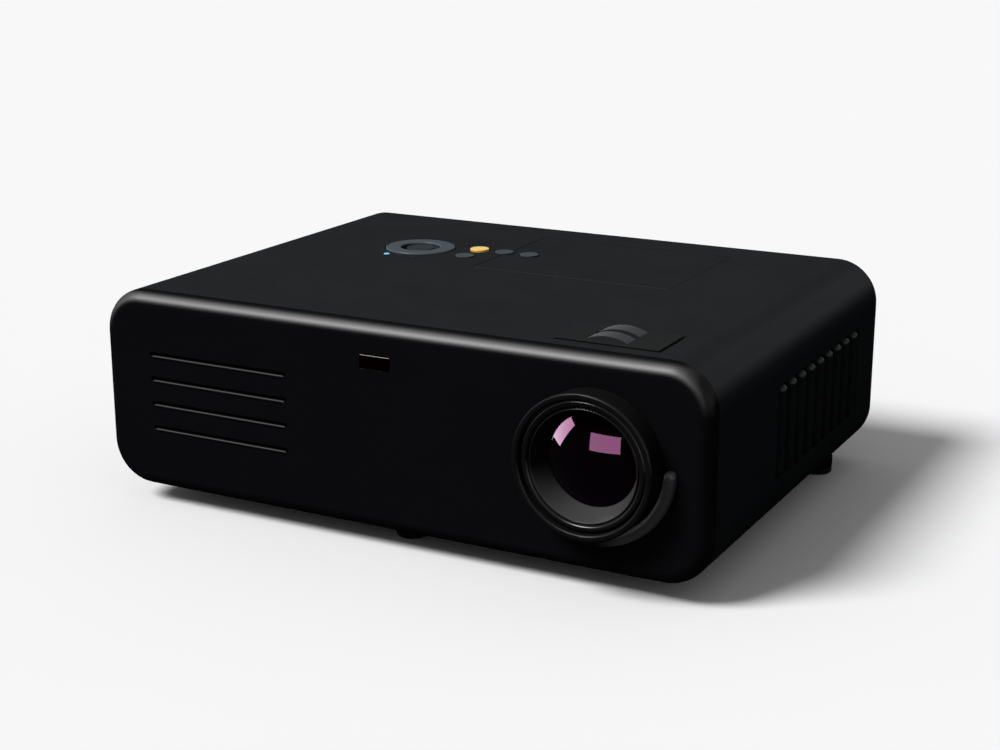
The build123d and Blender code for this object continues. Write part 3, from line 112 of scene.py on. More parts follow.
def number(name, text, default, low=0, **more):
    return FloatProperty(name=name, description=text, default=default, min=low, **more)


def length(name, text, default):
    return number(name, text, default, unit="LENGTH")


def share(name, text, default):
    return number(name, text, default, subtype="FACTOR", max=1)


class ProjectorCase(PropertyGroup):
    """Finish of the case mouldings."""

    shell: colour("Shell", "top, bottom, back and vents", (0.0165, 0.0185, 0.0205))
    # Own black of the front moulding, with painted shade: it is kept darker than the shell to stand for the
    # shade on the front.
    bezel: colour("Bezel", "front moulding", (0.0046, 0.0045, 0.0054))
    # Painted light: the guard rib belongs to the black front moulding, and this lighter tint stands for the
    # light on it.
    guard: colour("Guard", "rib that guards the lens", (0.02, 0.021, 0.023))
    grain: length("Grain", "Width of one pebble of the moulded grain", 0.00045)
    edge_break: length("Edge break", "Width of the small round on every moulded edge", 0.00022)
    bezel_sheen: share("Bezel sheen", "Gloss on the rounded edge of the front moulding", 1.0)
    shell_sheen: share("Shell sheen", "Gloss on the rounded edges of the other mouldings", 0.12)
    dust: share("Dust", "Fine dust on faces that look up", 0.012)
    # Painted shade: how much darker the sides of the shell are painted than its top.
    shade: share("Shade", "Tone of the sides of the shell, against its top", 0.55)


class ProjectorOptics(PropertyGroup):
    """Finish of the lens and its rings."""

    hood: colour("Hood", "lens hood", (0.0055, 0.0055, 0.006))
    # Painted light: this pale tint on the cone's lower side stands for the light that falls there.
    cell: colour("Cell", "inner cone where the light falls on it", (0.056, 0.056, 0.058))
    coating: colour("Coating", "light that the glass coating sends back", (1.0, 0.35, 0.75))
    coated_index: number("Coated index", "Index that gives the weak reflection of coated glass", 1.06, low=1)


class ProjectorControls(PropertyGroup):
    """Finish of what the hand touches."""

    wheel: colour("Wheels", "focus and zoom wheels", (0.041, 0.0425, 0.047))
    plate: colour("Plate", "plate round the wheels", (0.019, 0.0205, 0.02))
    ring: colour("Ring", "control ring", (0.071, 0.086, 0.1))
    # Painted shade: the button is of the ring's plastic, tinted darker to stand for the shade in the ring's
    # hollow.
    select: colour("Select button", "button inside the ring", (0.034, 0.0417, 0.047))
    key: colour("Keys", "grey keys", (0.062, 0.073, 0.079))
    amber: colour("Power key", "power key", (0.93, 0.6, 0.14))
    cyan: colour("Indicator", "glow of the power indicator", (0.07, 0.5, 0.62))
    key_rise: length("Key rise", "Height of the grey keys above the top", 0.00075)
    power_key_rise: length("Power key rise", "Height of the power key above the top", 0.00115)
    ring_drop: length("Ring drop", "How much lower the ring lies than its solid", 0.0005)


class ProjectorStage(PropertyGroup):
    """Floor, light and camera."""

    floor: colour("Floor", "floor", (0.97, 0.97, 0.975))
    floor_size: length("Floor size", "Half the width of the floor", 60.0)
    key_light: number("Key light", "Strength of the main light", 3.1)
    key_softness: number("Softness", "Width of the main light", radians(22), subtype="ANGLE", max=pi)
    ambient: share("Ambient", "Light from all round", 0.25)


GROUPS = (ProjectorCase, ProjectorOptics, ProjectorControls, ProjectorStage)


# Shader nodes

trees = []  # the node trees being built; new nodes go into the last one


def adjust(made, **settings):
    """Sets the properties of something new, and gives it back."""
    for name, value in settings.items():
        setattr(made, name, value)
    return made


def give(node, name, value):
    """Sets an input of a node, or links it if the value is a socket."""
    if isinstance(value, bpy.types.NodeSocket):
        trees[-1].links.new(value, node.inputs[name])
    else:
        node.inputs[name].default_value = value


def put(kind, inputs=None, **settings):
    """Adds one shader node, with its settings and its inputs."""
    made = adjust(trees[-1].nodes.new("ShaderNode" + kind), **settings)
    for name, value in (inputs or {}).items():
        give(made, name, value)
    return made


def build(tree, node, look, *inputs, **more):
    """Lets a look put its nodes into a tree, and joins what it returns to a node, with _ for a space."""
    trees.append(tree)
    for label, value in look(*inputs, **more).items():
        give(node, label.replace("_", " "), value)
    trees.pop()


def maths(operation, *values, clamp=False):
    """The result of a Math node."""
    return put("Math", dict(enumerate(values)), operation=operation, use_clamp=clamp).outputs[0]


def vectors(operation, *values, result="Vector"):
    """A result of a Vector Math node."""
    return put("VectorMath", dict(enumerate(values)), operation=operation).outputs[result]


def mix(factor, first, second):
    """The colour of a Mix node."""
    return put("Mix", {0: factor, 6: first, 7: second}, data_type="RGBA").outputs[2]


def spread(value, low, high, new_low=0.0, new_high=1.0, **settings):
    """The result of a clamped Map Range node."""
    ends = {"Value": value, "From Min": low, "From Max": high, "To Min": new_low, "To Max": new_high}
    return put("MapRange", ends, **settings).outputs[0]


def position():
    """Object coordinates."""
    return put("TexCoord").outputs["Object"]


def split(vector):
    """The three parts of a vector."""
    return put("SeparateXYZ", {0: vector}).outputs


def normal():
    return put("NewGeometry").outputs["Normal"]


def facing_up():
    """How far a face looks up, from -1 to 1."""
    return split(normal())["Z"]


def noise(scale, detail, vector=None, **more):
    """The value of a Noise Texture, on Object coordinates unless a vector is given."""
    inputs = {"Vector": position() if vector is None else vector, "Scale": scale, "Detail": detail}
    return put("TexNoise", inputs | more).outputs["Fac"]


def bump(height, strength, distance):
    return put("Bump", {"Height": height, "Strength": strength, "Distance": distance}).outputs[0]


def rgba(values, factor=1.0):
    return (values[0] * factor, values[1] * factor, values[2] * factor, 1.0)


def make_group(title, look, results, usual):
    """A node group, built by a look that takes the group's inputs in their order."""
    group = bpy.data.node_groups.new(title, "ShaderNodeTree")
    for label, value in usual.items():
        socket = group.interface.new_socket(label, in_out="INPUT", socket_type="NodeSocketFloat")
        socket.default_value = value
    for label in results:
        group.interface.new_socket(label, in_out="OUTPUT", socket_type="NodeSocketFloat")
    given = group.nodes.new("NodeGroupInput").outputs[: len(usual)]
    build(group, group.nodes.new("NodeGroupOutput"), look, *given)
    return group


def shared(title, results, **usual):
    """Turns a look into a shared effect: a node group made on first use. A call places it."""

    def wrap(look):
        def place(**inputs):
            group = bpy.data.node_groups.get(title) or make_group(title, look, results, usual)
            return put("Group", inputs, node_tree=group).outputs

        return place

    return wrap


@shared("Moulded grain", ("Height", "Tone"), Scale=2200.0)
def moulded_grain(scale):
    """Pebbles: a height for bump and a slow tone that varies over the surface."""
    cells = {"Vector": position(), "Scale": scale, "Smoothness": 0.6, "Randomness": 0.9}
    pebbles = put("TexVoronoi", cells, feature="SMOOTH_F1").outputs["Distance"]
    fine = noise(maths("MULTIPLY", scale, 2.6), 2.0)
    slow = noise(22.0, 4.0, Roughness=0.55, Distortion=0.4)
    return dict(Height=maths("MULTIPLY_ADD", fine, 0.35, pebbles), Tone=spread(slow, 0.3, 0.7))


@shared("Rounded edge", ["Mask"], Start=0.985, Full=0.8, Ends=1.0)
def rounded_edge(start, full, ends):
    """A mask that is strongest where an upper surface turns between two flat sides."""
    into = {"vector_type": "NORMAL", "convert_from": "WORLD", "convert_to": "OBJECT"}
    parts = split(put("VectorTransform", {"Vector": normal()}, **into).outputs[0])
    sizes = [maths("ABSOLUTE", parts[axis]) for axis in "XYZ"]
    most = maths("MAXIMUM", maths("MAXIMUM", sizes[0], sizes[1]), sizes[2])
    mask = spread(most, start, full, interpolation_type="SMOOTHSTEP")
    rising = maths("MULTIPLY", mask, spread(parts["Z"], 0.02, 0.35))
    return dict(Mask=maths("MULTIPLY", rising, spread(sizes[0], 0.3, 0.62, 1.0, ends)))


@shared("Edge wear", ["Mask"], Radius=0.0006, Amount=0.5)
def edge_wear(radius, amount):
    """A broken mask along sharp edges, from the difference to a bevelled normal."""
    bevelled = put("Bevel", {"Radius": radius}, samples=4).outputs[0]
    likeness = vectors("DOT_PRODUCT", normal(), bevelled, result="Value")
    patches = spread(noise(260.0, 5.0), 0.42, 0.68, 0.15, 1.0)
    broken = maths("MULTIPLY", spread(likeness, 0.99, 0.8), patches)
    return dict(Mask=maths("MULTIPLY", broken, amount, clamp=True))


@shared("Settled dust", ["Mask"], Amount=0.05)
def settled_dust(amount):
    """A thin uneven film on what looks up, with a few specks."""
    film = spread(noise(35.0, 6.0, Roughness=0.65), 0.35, 0.75, 0.2, 1.0)
    cells = put("TexVoronoi", {"Vector": position(), "Scale": 240.0}, feature="F1").outputs["Distance"]
    both = maths("MAXIMUM", film, spread(cells, 0.07, 0.03, 0.0, 0.8))
    lying = maths("MULTIPLY", both, spread(facing_up(), 0.5, 0.95))
    return dict(Mask=maths("MULTIPLY", lying, amount, clamp=True))


@shared("Turned marks", ("Height", "Tone"), Scale=900.0)
def turned_marks(scale):
    """Fine rings and scratches, as a height and a tone."""
    stretched = put("Mapping", {"Vector": position(), "Scale": (1.0, 14.0, 1.0)}).outputs[0]
    return dict(Height=noise(scale, 3.0, stretched), Tone=spread(noise(60.0, 3.0), 0.3, 0.7))


# Materials


def as_material(look):
    """Turns a look, which returns the sockets of a Principled shader, into a maker of named materials."""

    def make(name, *inputs, **more):
        made = bpy.data.materials.new(name)
        made.use_nodes = True
        build(made.node_tree, made.node_tree.nodes["Principled BSDF"], look, *inputs, **more)
        return made

    return make


@as_material
def plastic(tint, grain=0.0003, depth=0.1, rough=(0.4, 0.5), level=0.0, sheen=0.05, wear=0.2,
            dust=0.01, coat_rough=0.4, shade=1.0, ends=1.0, gloss=0.0, fade=None):
    """Moulded plastic: grain, slow tone, rubbed rounded edges, worn sharp edges, a film of dust, and painted
    shade on faces that don't look up when asked.
    With a fade, a tint that carries painted light gives way to another towards the low end of a span across
    the piece."""
    grained = moulded_grain(Scale=1.0 / grain)
    body = mix(grained["Tone"], rgba(tint, 0.97), rgba(tint, 1.03))
    # Painted shade: faces that don't look up take a darker copy of the tint.
    if shade < 1.0:
        body = mix(spread(facing_up(), -0.05, 0.35), rgba(tint, shade), body)
    gleam = maths("MULTIPLY_ADD", rounded_edge(Ends=ends)["Mask"], sheen, gloss)
    # Painted light fading out: towards the low end of the span the rib's lighter tint and its coat give way
    # to the other tint.
    if fade:
        other, low, high = fade
        reached = spread(split(position())["X"], low, high)
        body = mix(reached, rgba(other), body)
        gleam = maths("MULTIPLY", gleam, reached)
    worn = edge_wear(Radius=0.0005, Amount=wear)["Mask"]
    rubbed = mix(worn, body, rgba(tint, RUBBED))
    dusty = settled_dust(Amount=dust)["Mask"]
    return dict(
        Base_Color=mix(dusty, rubbed, (0.32, 0.31, 0.29, 1.0)),
        Roughness=spread(grained["Tone"], 0.0, 1.0, *rough),
        Specular_IOR_Level=level,
        Coat_Weight=gleam,
        Coat_Roughness=coat_rough,
        Coat_IOR=COAT_INDEX,
        Normal=bump(grained["Height"], depth, grain * 0.2),
    )


@as_material
def metal(tint, rough=(0.28, 0.42), scale=900.0):
    """Bare or plated metal with fine turned marks."""
    marks = turned_marks(Scale=scale)
    worn = edge_wear(Radius=0.0003, Amount=0.6)["Mask"]
    body = mix(marks["Tone"], rgba(tint, 0.85), rgba(tint))
    return dict(
        Base_Color=mix(worn, body, rgba([min(1.0, 1.3 * t) for t in tint])),
        Metallic=1.0,
        Roughness=spread(marks["Tone"], 0.0, 1.0, *rough),
        Normal=bump(marks["Height"], 0.15, 0.00002),
    )


@as_material
def rubber(tint):
    """Soft rubber: matt, with a fine dusty tooth."""
    grained = moulded_grain(Scale=3600.0)
    dusty = settled_dust(Amount=0.05)["Mask"]
    body = mix(grained["Tone"], rgba(tint, 0.85), rgba(tint, 1.15))
    return dict(
        Base_Color=mix(dusty, body, (0.25, 0.24, 0.22, 1.0)),
        Roughness=spread(grained["Tone"], 0.0, 1.0, 0.82, 0.95),
        Specular_IOR_Level=0.05,
        Sheen_Weight=0.03,
        Normal=bump(grained["Height"], 0.4, 0.00006),
    )


@as_material
def cell_plastic(dark, pale):
    """The cells of the lens: black, with a matt inner cone whose lower side carries painted light from
    above.
    """
    mouth, lip, downwards = 0.0236, 0.02395, (0.2, 0.0, -0.98)
    grained = moulded_grain(Scale=3300.0)
    away = vectors("SUBTRACT", position(), middle("front_lens"))
    level = vectors("MULTIPLY", away, (1.0, 0.0, 1.0))
    radius = vectors("LENGTH", level, result="Value")
    heading = vectors("NORMALIZE", level)
    low = vectors("DOT_PRODUCT", heading, downwards, result="Value")
    # Painted light: the lower side of the cone, inside the mouth, takes the pale tint.
    lit = maths("MULTIPLY", spread(radius, lip, mouth), spread(low, -0.1, 0.85))
    worn = edge_wear(Radius=0.0004, Amount=0.3)["Mask"]
    rubbed = mix(worn, rgba(dark), rgba(dark, 2.0))
    return dict(
        Base_Color=mix(lit, rubbed, rgba(pale)),
        Roughness=spread(grained["Tone"], 0.0, 1.0, 0.4, 0.5),
        Specular_IOR_Level=0.0,
        Coat_Weight=maths("MULTIPLY", rounded_edge()["Mask"], 0.45),
        Coat_Roughness=0.28,
        Coat_IOR=COAT_INDEX,
        Normal=bump(grained["Height"], 0.1, 0.00006),
    )


def wiped_marks():
    """Faint cleaning marks."""
    return noise(90.0, 6.0, Roughness=0.7, Distortion=1.5)


@as_material
def coated_glass(tint, index):
    """The lens in front: an opaque near-black base as painted shade for the dark lens behind it, with the
    coating's tint in its weak reflection.
    """
    wiped = wiped_marks()
    return dict(
        # Painted shade: the glass is opaque and nearly black, standing in for the dark lens behind it.
        Base_Color=mix(wiped, (0.0004, 0.0002, 0.0005, 1.0), (0.0009, 0.0005, 0.0011, 1.0)),
        Roughness=spread(wiped, 0.4, 0.8, 0.01, 0.04),
        IOR=index,
        Specular_Tint=rgba(tint),
    )


@as_material
def clear_glass():
    """Clear glass with faint cleaning marks."""
    wiped = wiped_marks()
    return dict(
        Base_Color=mix(wiped, (0.93, 0.95, 1.0, 1.0), (1.0, 1.0, 1.0, 1.0)),
        Roughness=spread(wiped, 0.45, 0.75, 0.0, 0.025),
        Transmission_Weight=1.0,
    )


@as_material
def tinted_window():
    """The receiver's deep red window: nearly black, glossy, with a bright rounded upper edge."""
    marks = moulded_grain(Scale=1500.0)
    deep, clear = (0.0014, 0.0001, 0.0002, 1.0), (0.0022, 0.0001, 0.0002, 1.0)
    return dict(
        Base_Color=mix(marks["Tone"], deep, clear),
        Roughness=spread(marks["Tone"], 0.0, 1.0, 0.06, 0.12),
        Specular_IOR_Level=0.0,
        Coat_Weight=rounded_edge()["Mask"],
        Coat_Roughness=0.35,
        Coat_IOR=COAT_INDEX,
        Normal=bump(marks["Height"], 0.03, 0.00001),
    )


@as_material
def lamp_dome(tint, glow):
    """A small indicator: cloudy coloured plastic, lit from inside at its middle."""
    marks = moulded_grain(Scale=2600.0)
    core = spread(facing_up(), 0.3, 1.0, 0.35, 1.0)
    return dict(
        Base_Color=mix(marks["Tone"], rgba(tint, 0.8), rgba(tint)),
        Roughness=spread(marks["Tone"], 0.0, 1.0, 0.2, 0.34),
        Emission_Color=mix(core, rgba(tint, 0.3), rgba(tint)),
        Emission_Strength=glow,
        Specular_IOR_Level=0.3 if glow else 0.0,
    )


@as_material
def board():
    """A printed circuit board: lacquered green with copper runs under the lacquer."""
    bricks = {"Vector": position(), "Scale": 120.0, "Mortar Size": 0.03, "Bias": -0.2}
    runs = put("TexBrick", bricks, offset=0.35).outputs["Fac"]
    slow = noise(45.0, 3.0)
    green = mix(slow, (0.004, 0.055, 0.02, 1.0), (0.006, 0.075, 0.03, 1.0))
    return dict(
        Base_Color=mix(runs, green, (0.015, 0.14, 0.05, 1.0)),
        Roughness=spread(slow, 0.3, 0.7, 0.3, 0.42),
        Normal=bump(runs, 0.3, 0.00003),
    )


@as_material
def filter_glass():
    """The colour wheel: coated glass in coloured sectors round its hub."""
    around = {"Vector": position(), "Location": -middle("colour_wheel")}
    parts = split(put("Mapping", around).outputs[0])
    turn = maths("ARCTAN2", parts["Z"], parts["X"])
    sectors = put("ValToRGB", {"Fac": spread(turn, -pi, pi)})
    ramp = sectors.color_ramp
    ramp.interpolation = "CONSTANT"
    red, green, blue, clear = (0.7, 0.02, 0.02), (0.02, 0.5, 0.06), (0.02, 0.05, 0.7), (0.8, 0.85, 0.85)
    for stop, (where, tint) in enumerate(((0.0, red), (0.3, green), (0.6, blue), (0.88, clear))):
        point = ramp.elements[stop] if stop < 2 else ramp.elements.new(where)
        point.position = where
        point.color = rgba(tint)
    marks = turned_marks(Scale=1200.0)
    return dict(
        Base_Color=sectors.outputs["Color"],
        Roughness=spread(marks["Tone"], 0.0, 1.0, 0.05, 0.1),
        Specular_IOR_Level=0.8,
        Normal=bump(marks["Height"], 0.04, 0.00001),
    )


# slot: name, tint, width and depth of a pebble, roughness, reflection, edge sheen, wear, dust
PLASTICS = {
    "foot_black": ("Foot plastic", (0.008, 0.008, 0.009), 0.0004, 0.25, (0.5, 0.62), 0.0, 0.06, 0.25, 0.01),
    "nylon_black": ("Nylon", (0.014, 0.014, 0.015), 0.0005, 0.2, (0.5, 0.6), 0.1, 0.4, 0.2, 0.02),
    "component_grey": ("Component case", (0.1, 0.1, 0.105), 0.0006, 0.2, (0.5, 0.6), 0.2, 0.3, 0.2, 0.03),
    "heat_white": ("Heat resin", (0.55, 0.54, 0.5), 0.0006, 0.2, (0.5, 0.6), 0.25, 0.2, 0.2, 0.05),
    "socket_blue": ("Blue socket", (0.01, 0.045, 0.32), 0.0004, 0.1, (0.4, 0.5), 0.25, 0.4, 0.2, 0.02),
    "socket_black": ("Socket plastic", (0.012, 0.012, 0.013), 0.0004, 0.1, (0.4, 0.5), 0.2, 0.5, 0.2, 0.02),
    "socket_red": ("Red socket", (0.42, 0.015, 0.012), 0.0004, 0.1, (0.4, 0.5), 0.25, 0.4, 0.2, 0.0),
}
# slot: name, tint, roughness, scale of the marks
METALS = {
    "steel": ("Plated steel", (0.52, 0.53, 0.55)),
    "brass_insert": ("Brass", (0.72, 0.5, 0.2), (0.25, 0.38)),
    "aluminium_sink": ("Aluminium", (0.72, 0.73, 0.75), (0.35, 0.5), 500.0),
    "cast_grey": ("Cast magnesium", (0.36, 0.36, 0.37), (0.5, 0.65), 300.0),
    "reflector_glass": ("Mirror coating", (0.85, 0.85, 0.88), (0.05, 0.1), 400.0),
}


@cache
def finish(slot):
    """The material of a record's slot, or of a special finish."""
    if slot in PLASTICS:
        return plastic(*PLASTICS[slot])
    if slot in METALS:
        return metal(*METALS[slot])
    scene = bpy.context.scene
    case, optics, controls = scene.projector_case, scene.projector_optics, scene.projector_controls
    # Painted shade: the shell, wheels, ring, select button and keys are painted darker on faces that don't
    # look up.
    shell = dict(grain=case.grain, depth=0.3, rough=(0.5, 0.62), wear=0.25, dust=case.dust, shade=case.shade)
    rib_end = middle("front_lens").x + 3 * MM
    makers = {
        "case_black": lambda: plastic("Housing plastic", case.shell, sheen=case.shell_sheen, **shell),
        "vent_black": lambda: plastic("Vent plastic", case.shell, sheen=0.35, **shell),
        # The bezel tint carries painted shade on the front; it also colours the louvre lips and the low end
        # of the guard rib.
        "bezel_black": lambda: plastic(
            "Bezel plastic", case.bezel, case.grain * 0.7, 0.15, (0.42, 0.52), sheen=case.bezel_sheen,
            wear=0.25, dust=case.dust, coat_rough=0.52, ends=0.15,
        ),
        # The guard rib's lighter tint is painted light; near the bottom of the lens it fades to the bezel's
        # tint.
        "guard_black": lambda: plastic(
            "Guard plastic", case.guard, sheen=0.5, wear=0.0, dust=0.0, coat_rough=0.6, gloss=0.12,
            fade=(case.bezel, rib_end, rib_end + 11 * MM),
        ),
        "louvre_lip": lambda: plastic("Louvre lip", case.bezel, sheen=0.42, dust=0.0, coat_rough=0.55),
        "hood_black": lambda: plastic(
            "Hood plastic", optics.hood, depth=0.12, rough=(0.38, 0.46), sheen=0.22, wear=0.4
        ),
        "wheel_grey": lambda: plastic(
            "Wheel plastic", controls.wheel, level=0.05, sheen=0.1, dust=0.012, shade=0.5
        ),
        "plate_black": lambda: plastic("Plate plastic", controls.plate, 0.0004, 0.2, (0.45, 0.55)),
        "ring_slate": lambda: plastic(
            "Ring plastic", controls.ring, rough=(0.36, 0.46), sheen=0.3, shade=0.4
        ),
        # Painted shade: a darker copy of the ring plastic for the button.
        "select_slate": lambda: plastic("Select plastic", controls.select, shade=0.3),
        "key_grey": lambda: plastic("Key plastic", controls.key, rough=(0.38, 0.48), shade=0.3),
        "key_amber": lambda: plastic(
            "Amber key plastic", controls.amber, rough=(0.36, 0.46), level=0.2, sheen=0.5, wear=0.1,
            dust=0.0, shade=0.7,
        ),
        "cell_black": lambda: cell_plastic("Cell plastic", optics.hood, optics.cell),
        "glass_coated": lambda: coated_glass("Coated glass", optics.coating, optics.coated_index),
        "window_red": lambda: tinted_window("Receiver window"),
        "led_cyan": lambda: lamp_dome("Power indicator", controls.cyan, 0.6),
        "led_dim": lambda: lamp_dome("Idle indicator", (0.03, 0.031, 0.034), 0.0),
        "rubber_black": lambda: rubber("Foot rubber", (0.009, 0.009, 0.009)),
        "board_green": lambda: board("Circuit board"),
        "quartz": lambda: clear_glass("Quartz"),
        "filter_glass": lambda: filter_glass("Filter glass"),
    }
    return makers[slot]()


# Shaping

AXES = {"Y": Vector((0, 1, 0)), "Z": Vector((0, 0, 1))}


def at(x, y, z):
    """A point given in millimetres."""
    return Vector((x, y, z)) * MM


def off_axis(point, axis):
    """The point moved along the axis until it has no part along it."""
    along = AXES[axis]
    return point - along * point.dot(along)


def add_object(name, data):
    """A new object in the scene."""
    made = bpy.data.objects.new(name, data)
    bpy.context.scene.collection.objects.link(made)
    return made


def to_mesh(name, bm):
    """A mesh made from a bmesh, which is then used up."""
    mesh = bpy.data.meshes.new(name)
    bm.to_mesh(mesh)
    bm.free()
    return mesh


def soften(piece, width=None, from_frame=False):
    """Breaks a piece's sharp edges with a small round. Loose triangles from the frame are joined first."""
    new = piece.modifiers.new
    if from_frame:
        adjust(new("Joined", "WELD"), merge_threshold=WELD)
        adjust(new("Flat faces", "DECIMATE"), decimate_type="DISSOLVE", angle_limit=radians(0.5))
    wide = bpy.context.scene.projector_case.edge_break if width is None else width * MM
    adjust(
        new("Broken edges", "BEVEL"), width=wide, segments=2, limit_method="ANGLE",
        angle_limit=radians(32), miter_outer="MITER_ARC",
    )
    adjust(new("Even shading", "WEIGHTED_NORMAL"), mode="FACE_AREA", weight=60)


def deliver(name, bm, like, slot=None, material=None, edge=None, replace=False, from_frame=False):
    """Makes a finished object from a bmesh. It rides with the node that it is like, and may stand for it."""
    if slot is None:
        slot = NODES[like].material_slots[0].material.name.split(".")[0]
    mesh = to_mesh(name, bm)
    mesh.materials.append(material or finish(slot))
    for face in mesh.polygons:
        face.use_smooth = True
    made = add_object(name, mesh)
    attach(made, BODY_OF[like])
    if replace:
        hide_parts(like)
    soften(made, edge, from_frame)
    return made


def face_outwards(bm):
    bmesh.ops.recalc_face_normals(bm, faces=bm.faces[:])


def bevel(bm, parts, width, steps, affect):
    """Rounds edges or corners by a width in mm."""
    bmesh.ops.bevel(
        bm, geom=parts, offset=width * MM, offset_type="OFFSET", segments=steps, profile=0.5,
        affect=affect, material=-1,
    )


def draw_wire(bm, profile, centre, axis):
    """Draws a line of (radius, place, round) corners, in mm, beside an axis.
    It closes unless it starts on the axis."""
    across, along, base = Vector((1, 0, 0)), AXES[axis], off_axis(centre, axis)
    corners = [bm.verts.new(base + (point[0] * across + point[1] * along) * MM) for point in profile]
    for pair in zip(corners, corners[1:]):
        bm.edges.new(pair)
    if profile[0][0] > 0:
        bm.edges.new((corners[-1], corners[0]))
    for vert, point in zip(corners, profile):
        if len(point) > 2:
            bevel(bm, [vert], point[2], 5, "VERTICES")


def turn_wire(bm, centre, axis, steps):
    """Spins all that is in a bmesh once round an axis through centre and closes the skin."""
    bmesh.ops.spin(
        bm, geom=bm.verts[:] + bm.edges[:], cent=centre, axis=AXES[axis], angle=2 * pi, steps=steps,
        use_merge=True,
    )
    bmesh.ops.remove_doubles(bm, verts=bm.verts[:], dist=WELD)
    face_outwards(bm)


def turned(profile, centre, axis="Y", steps=96):
    """A bmesh of a turned piece."""
    bm = bmesh.new()
    draw_wire(bm, profile, centre, axis)
    turn_wire(bm, centre, axis, steps)
    return bm


def add_turned(bm, profile, centre, axis="Y", steps=48):
    """Adds a small turned form to a bmesh that holds others."""
    store = to_mesh("store", turned(profile, centre, axis, steps))
    bm.from_mesh(store)
    bpy.data.meshes.remove(store)


def sleeve(inner, outer, near, far, *rounds):
    """The profile of a plain tube, or of a disc if inner is 0, with its far corners rounded if asked."""
    return (inner, near), (outer, near), (outer, far, *rounds[:1]), (inner, far, *rounds[1:])


def add_block(bm, low, high, round_edges=0.0):
    """Adds a box between two corners given in mm, with rounded edges if asked."""
    made = bmesh.ops.create_cube(bm, size=1.0)["verts"]
    bmesh.ops.scale(bm, vec=(Vector(high) - Vector(low)) * MM, verts=made)
    bmesh.ops.translate(bm, vec=(Vector(high) + Vector(low)) * MM / 2, verts=made)
    if round_edges:
        bevel(bm, [edge for edge in bm.edges if edge.verts[0] in made], round_edges, 3, "EDGES")


def add_frame(bm, left, right, low, high, rim, front, back):
    """Adds four bars that make an upright frame, in mm."""
    for a, b in (
        ((left, low), (right, low + rim)),
        ((left, high - rim), (right, high)),
        ((left, low + rim), (left + rim, high - rim)),
        ((right - rim, low + rim), (right, high - rim)),
    ):
        add_block(bm, (a[0], front, a[1]), (b[0], back, b[1]))


def rectangle(bm, centre, width, depth, height):
    """The four corners of a level rectangle, in mm."""
    signs = ((-1, -1), (1, -1), (1, 1), (-1, 1))
    return [bm.verts.new(at(centre[0] + a * width / 2, centre[1] + b * depth / 2, height)) for a, b in signs]


def join_rings(bm, rings):
    """Joins rings of corners, each to the next and the last to the first, into a closed tube."""
    for first, second in zip(rings, rings[1:] + rings[:1]):
        for n in range(len(first)):
            follow = (n + 1) % len(first)
            bmesh.ops.contextual_create(bm, geom=[first[n], first[follow], second[follow], second[n]])
    face_outwards(bm)


def reworked(node):
    """A merged copy of a node's mesh, to be shaped further."""
    bm = bmesh.new()
    bm.from_mesh(NODES[node].data)
    bmesh.ops.remove_doubles(bm, verts=bm.verts[:], dist=WELD)
    return bm


# Stage

CAMERA_STANDS = Vector((0.38214, -0.71568, 0.28629))
CAMERA_LOOKS = Vector((-0.4512, 0.8488, -0.2755))
SUN_STANDS = Vector((-0.397, -0.551, 0.735))
SKY_WHITE_BELOW, SKY_DARK_ABOVE = radians(6), radians(26)
FLOOR_BOUNCE = (0.2, 0.2, 0.2, 1.0)
SOFT_BOX_REACH = 0.25
# name, level, then azimuth, elevation, width, height and lean in degrees
SOFT_BOXES = (
    ("soft_box_front", 280.0, (-8.3, 1.4, 32.0, 17.5, 0.0)),
    ("soft_box_side", 480.0, (-55.6, 3.4, 10.5, 26.0, -34.0)),
)


def aim(made, direction, axis="Z"):
    """Turns one axis of an object to a direction."""
    made.rotation_mode = "QUATERNION"
    made.rotation_quaternion = direction.to_track_quat(axis, "Y")


def seen_directly():
    """A mask that is 1 for camera, glossy and transmission rays."""
    path = put("LightPath").outputs
    either = maths("ADD", path["Is Camera Ray"], path["Is Glossy Ray"])
    return maths("ADD", either, path["Is Transmission Ray"], clamp=True)


@as_material
def pale_floor(tint):
    """A pale floor that throws less light back than it shows."""
    pale = mix(noise(6.0, 4.0), rgba(tint, 0.985), rgba(tint))
    seen = mix(seen_directly(), FLOOR_BOUNCE, pale)
    return dict(Base_Color=seen, Roughness=0.9, Specular_IOR_Level=0.0)


def sky(ambient):
    """White low down where it is seen, and even and weak for the rest."""
    rise = split(put("TexCoord").outputs["Generated"])["Z"]
    horizon = spread(rise, sin(SKY_DARK_ABOVE), sin(SKY_WHITE_BELOW), interpolation_type="SMOOTHSTEP")
    white = maths("MULTIPLY", horizon, seen_directly())
    return dict(Color=mix(white, (ambient,) * 3 + (1.0,), (1.0, 1.0, 1.0, 1.0)))


def lay_floor(settings):
    bm = bmesh.new()
    bmesh.ops.create_grid(bm, x_segments=8, y_segments=8, size=settings.floor_size)
    floor = add_object("floor", to_mesh("floor", bm))
    floor.data.materials.append(pale_floor("Studio floor", settings.floor))


def set_world(scene, settings):
    world = scene.world = bpy.data.worlds.new("Studio")
    world.use_nodes = True
    build(world.node_tree, world.node_tree.nodes["Background"], sky, settings.ambient)


def set_lamps(settings):
    new = bpy.data.lights.new
    key = adjust(new("key", "SUN"), energy=settings.key_light, angle=settings.key_softness)
    aim(add_object("key", key), SUN_STANDS)
    glass = middle("front_lens")
    glass.y = corner("front_lens").y
    bpy.data.collections.new(MIRRORS)
    for name, level, angles in SOFT_BOXES:
        hang_soft_box(name, glass, level, *map(radians, angles))


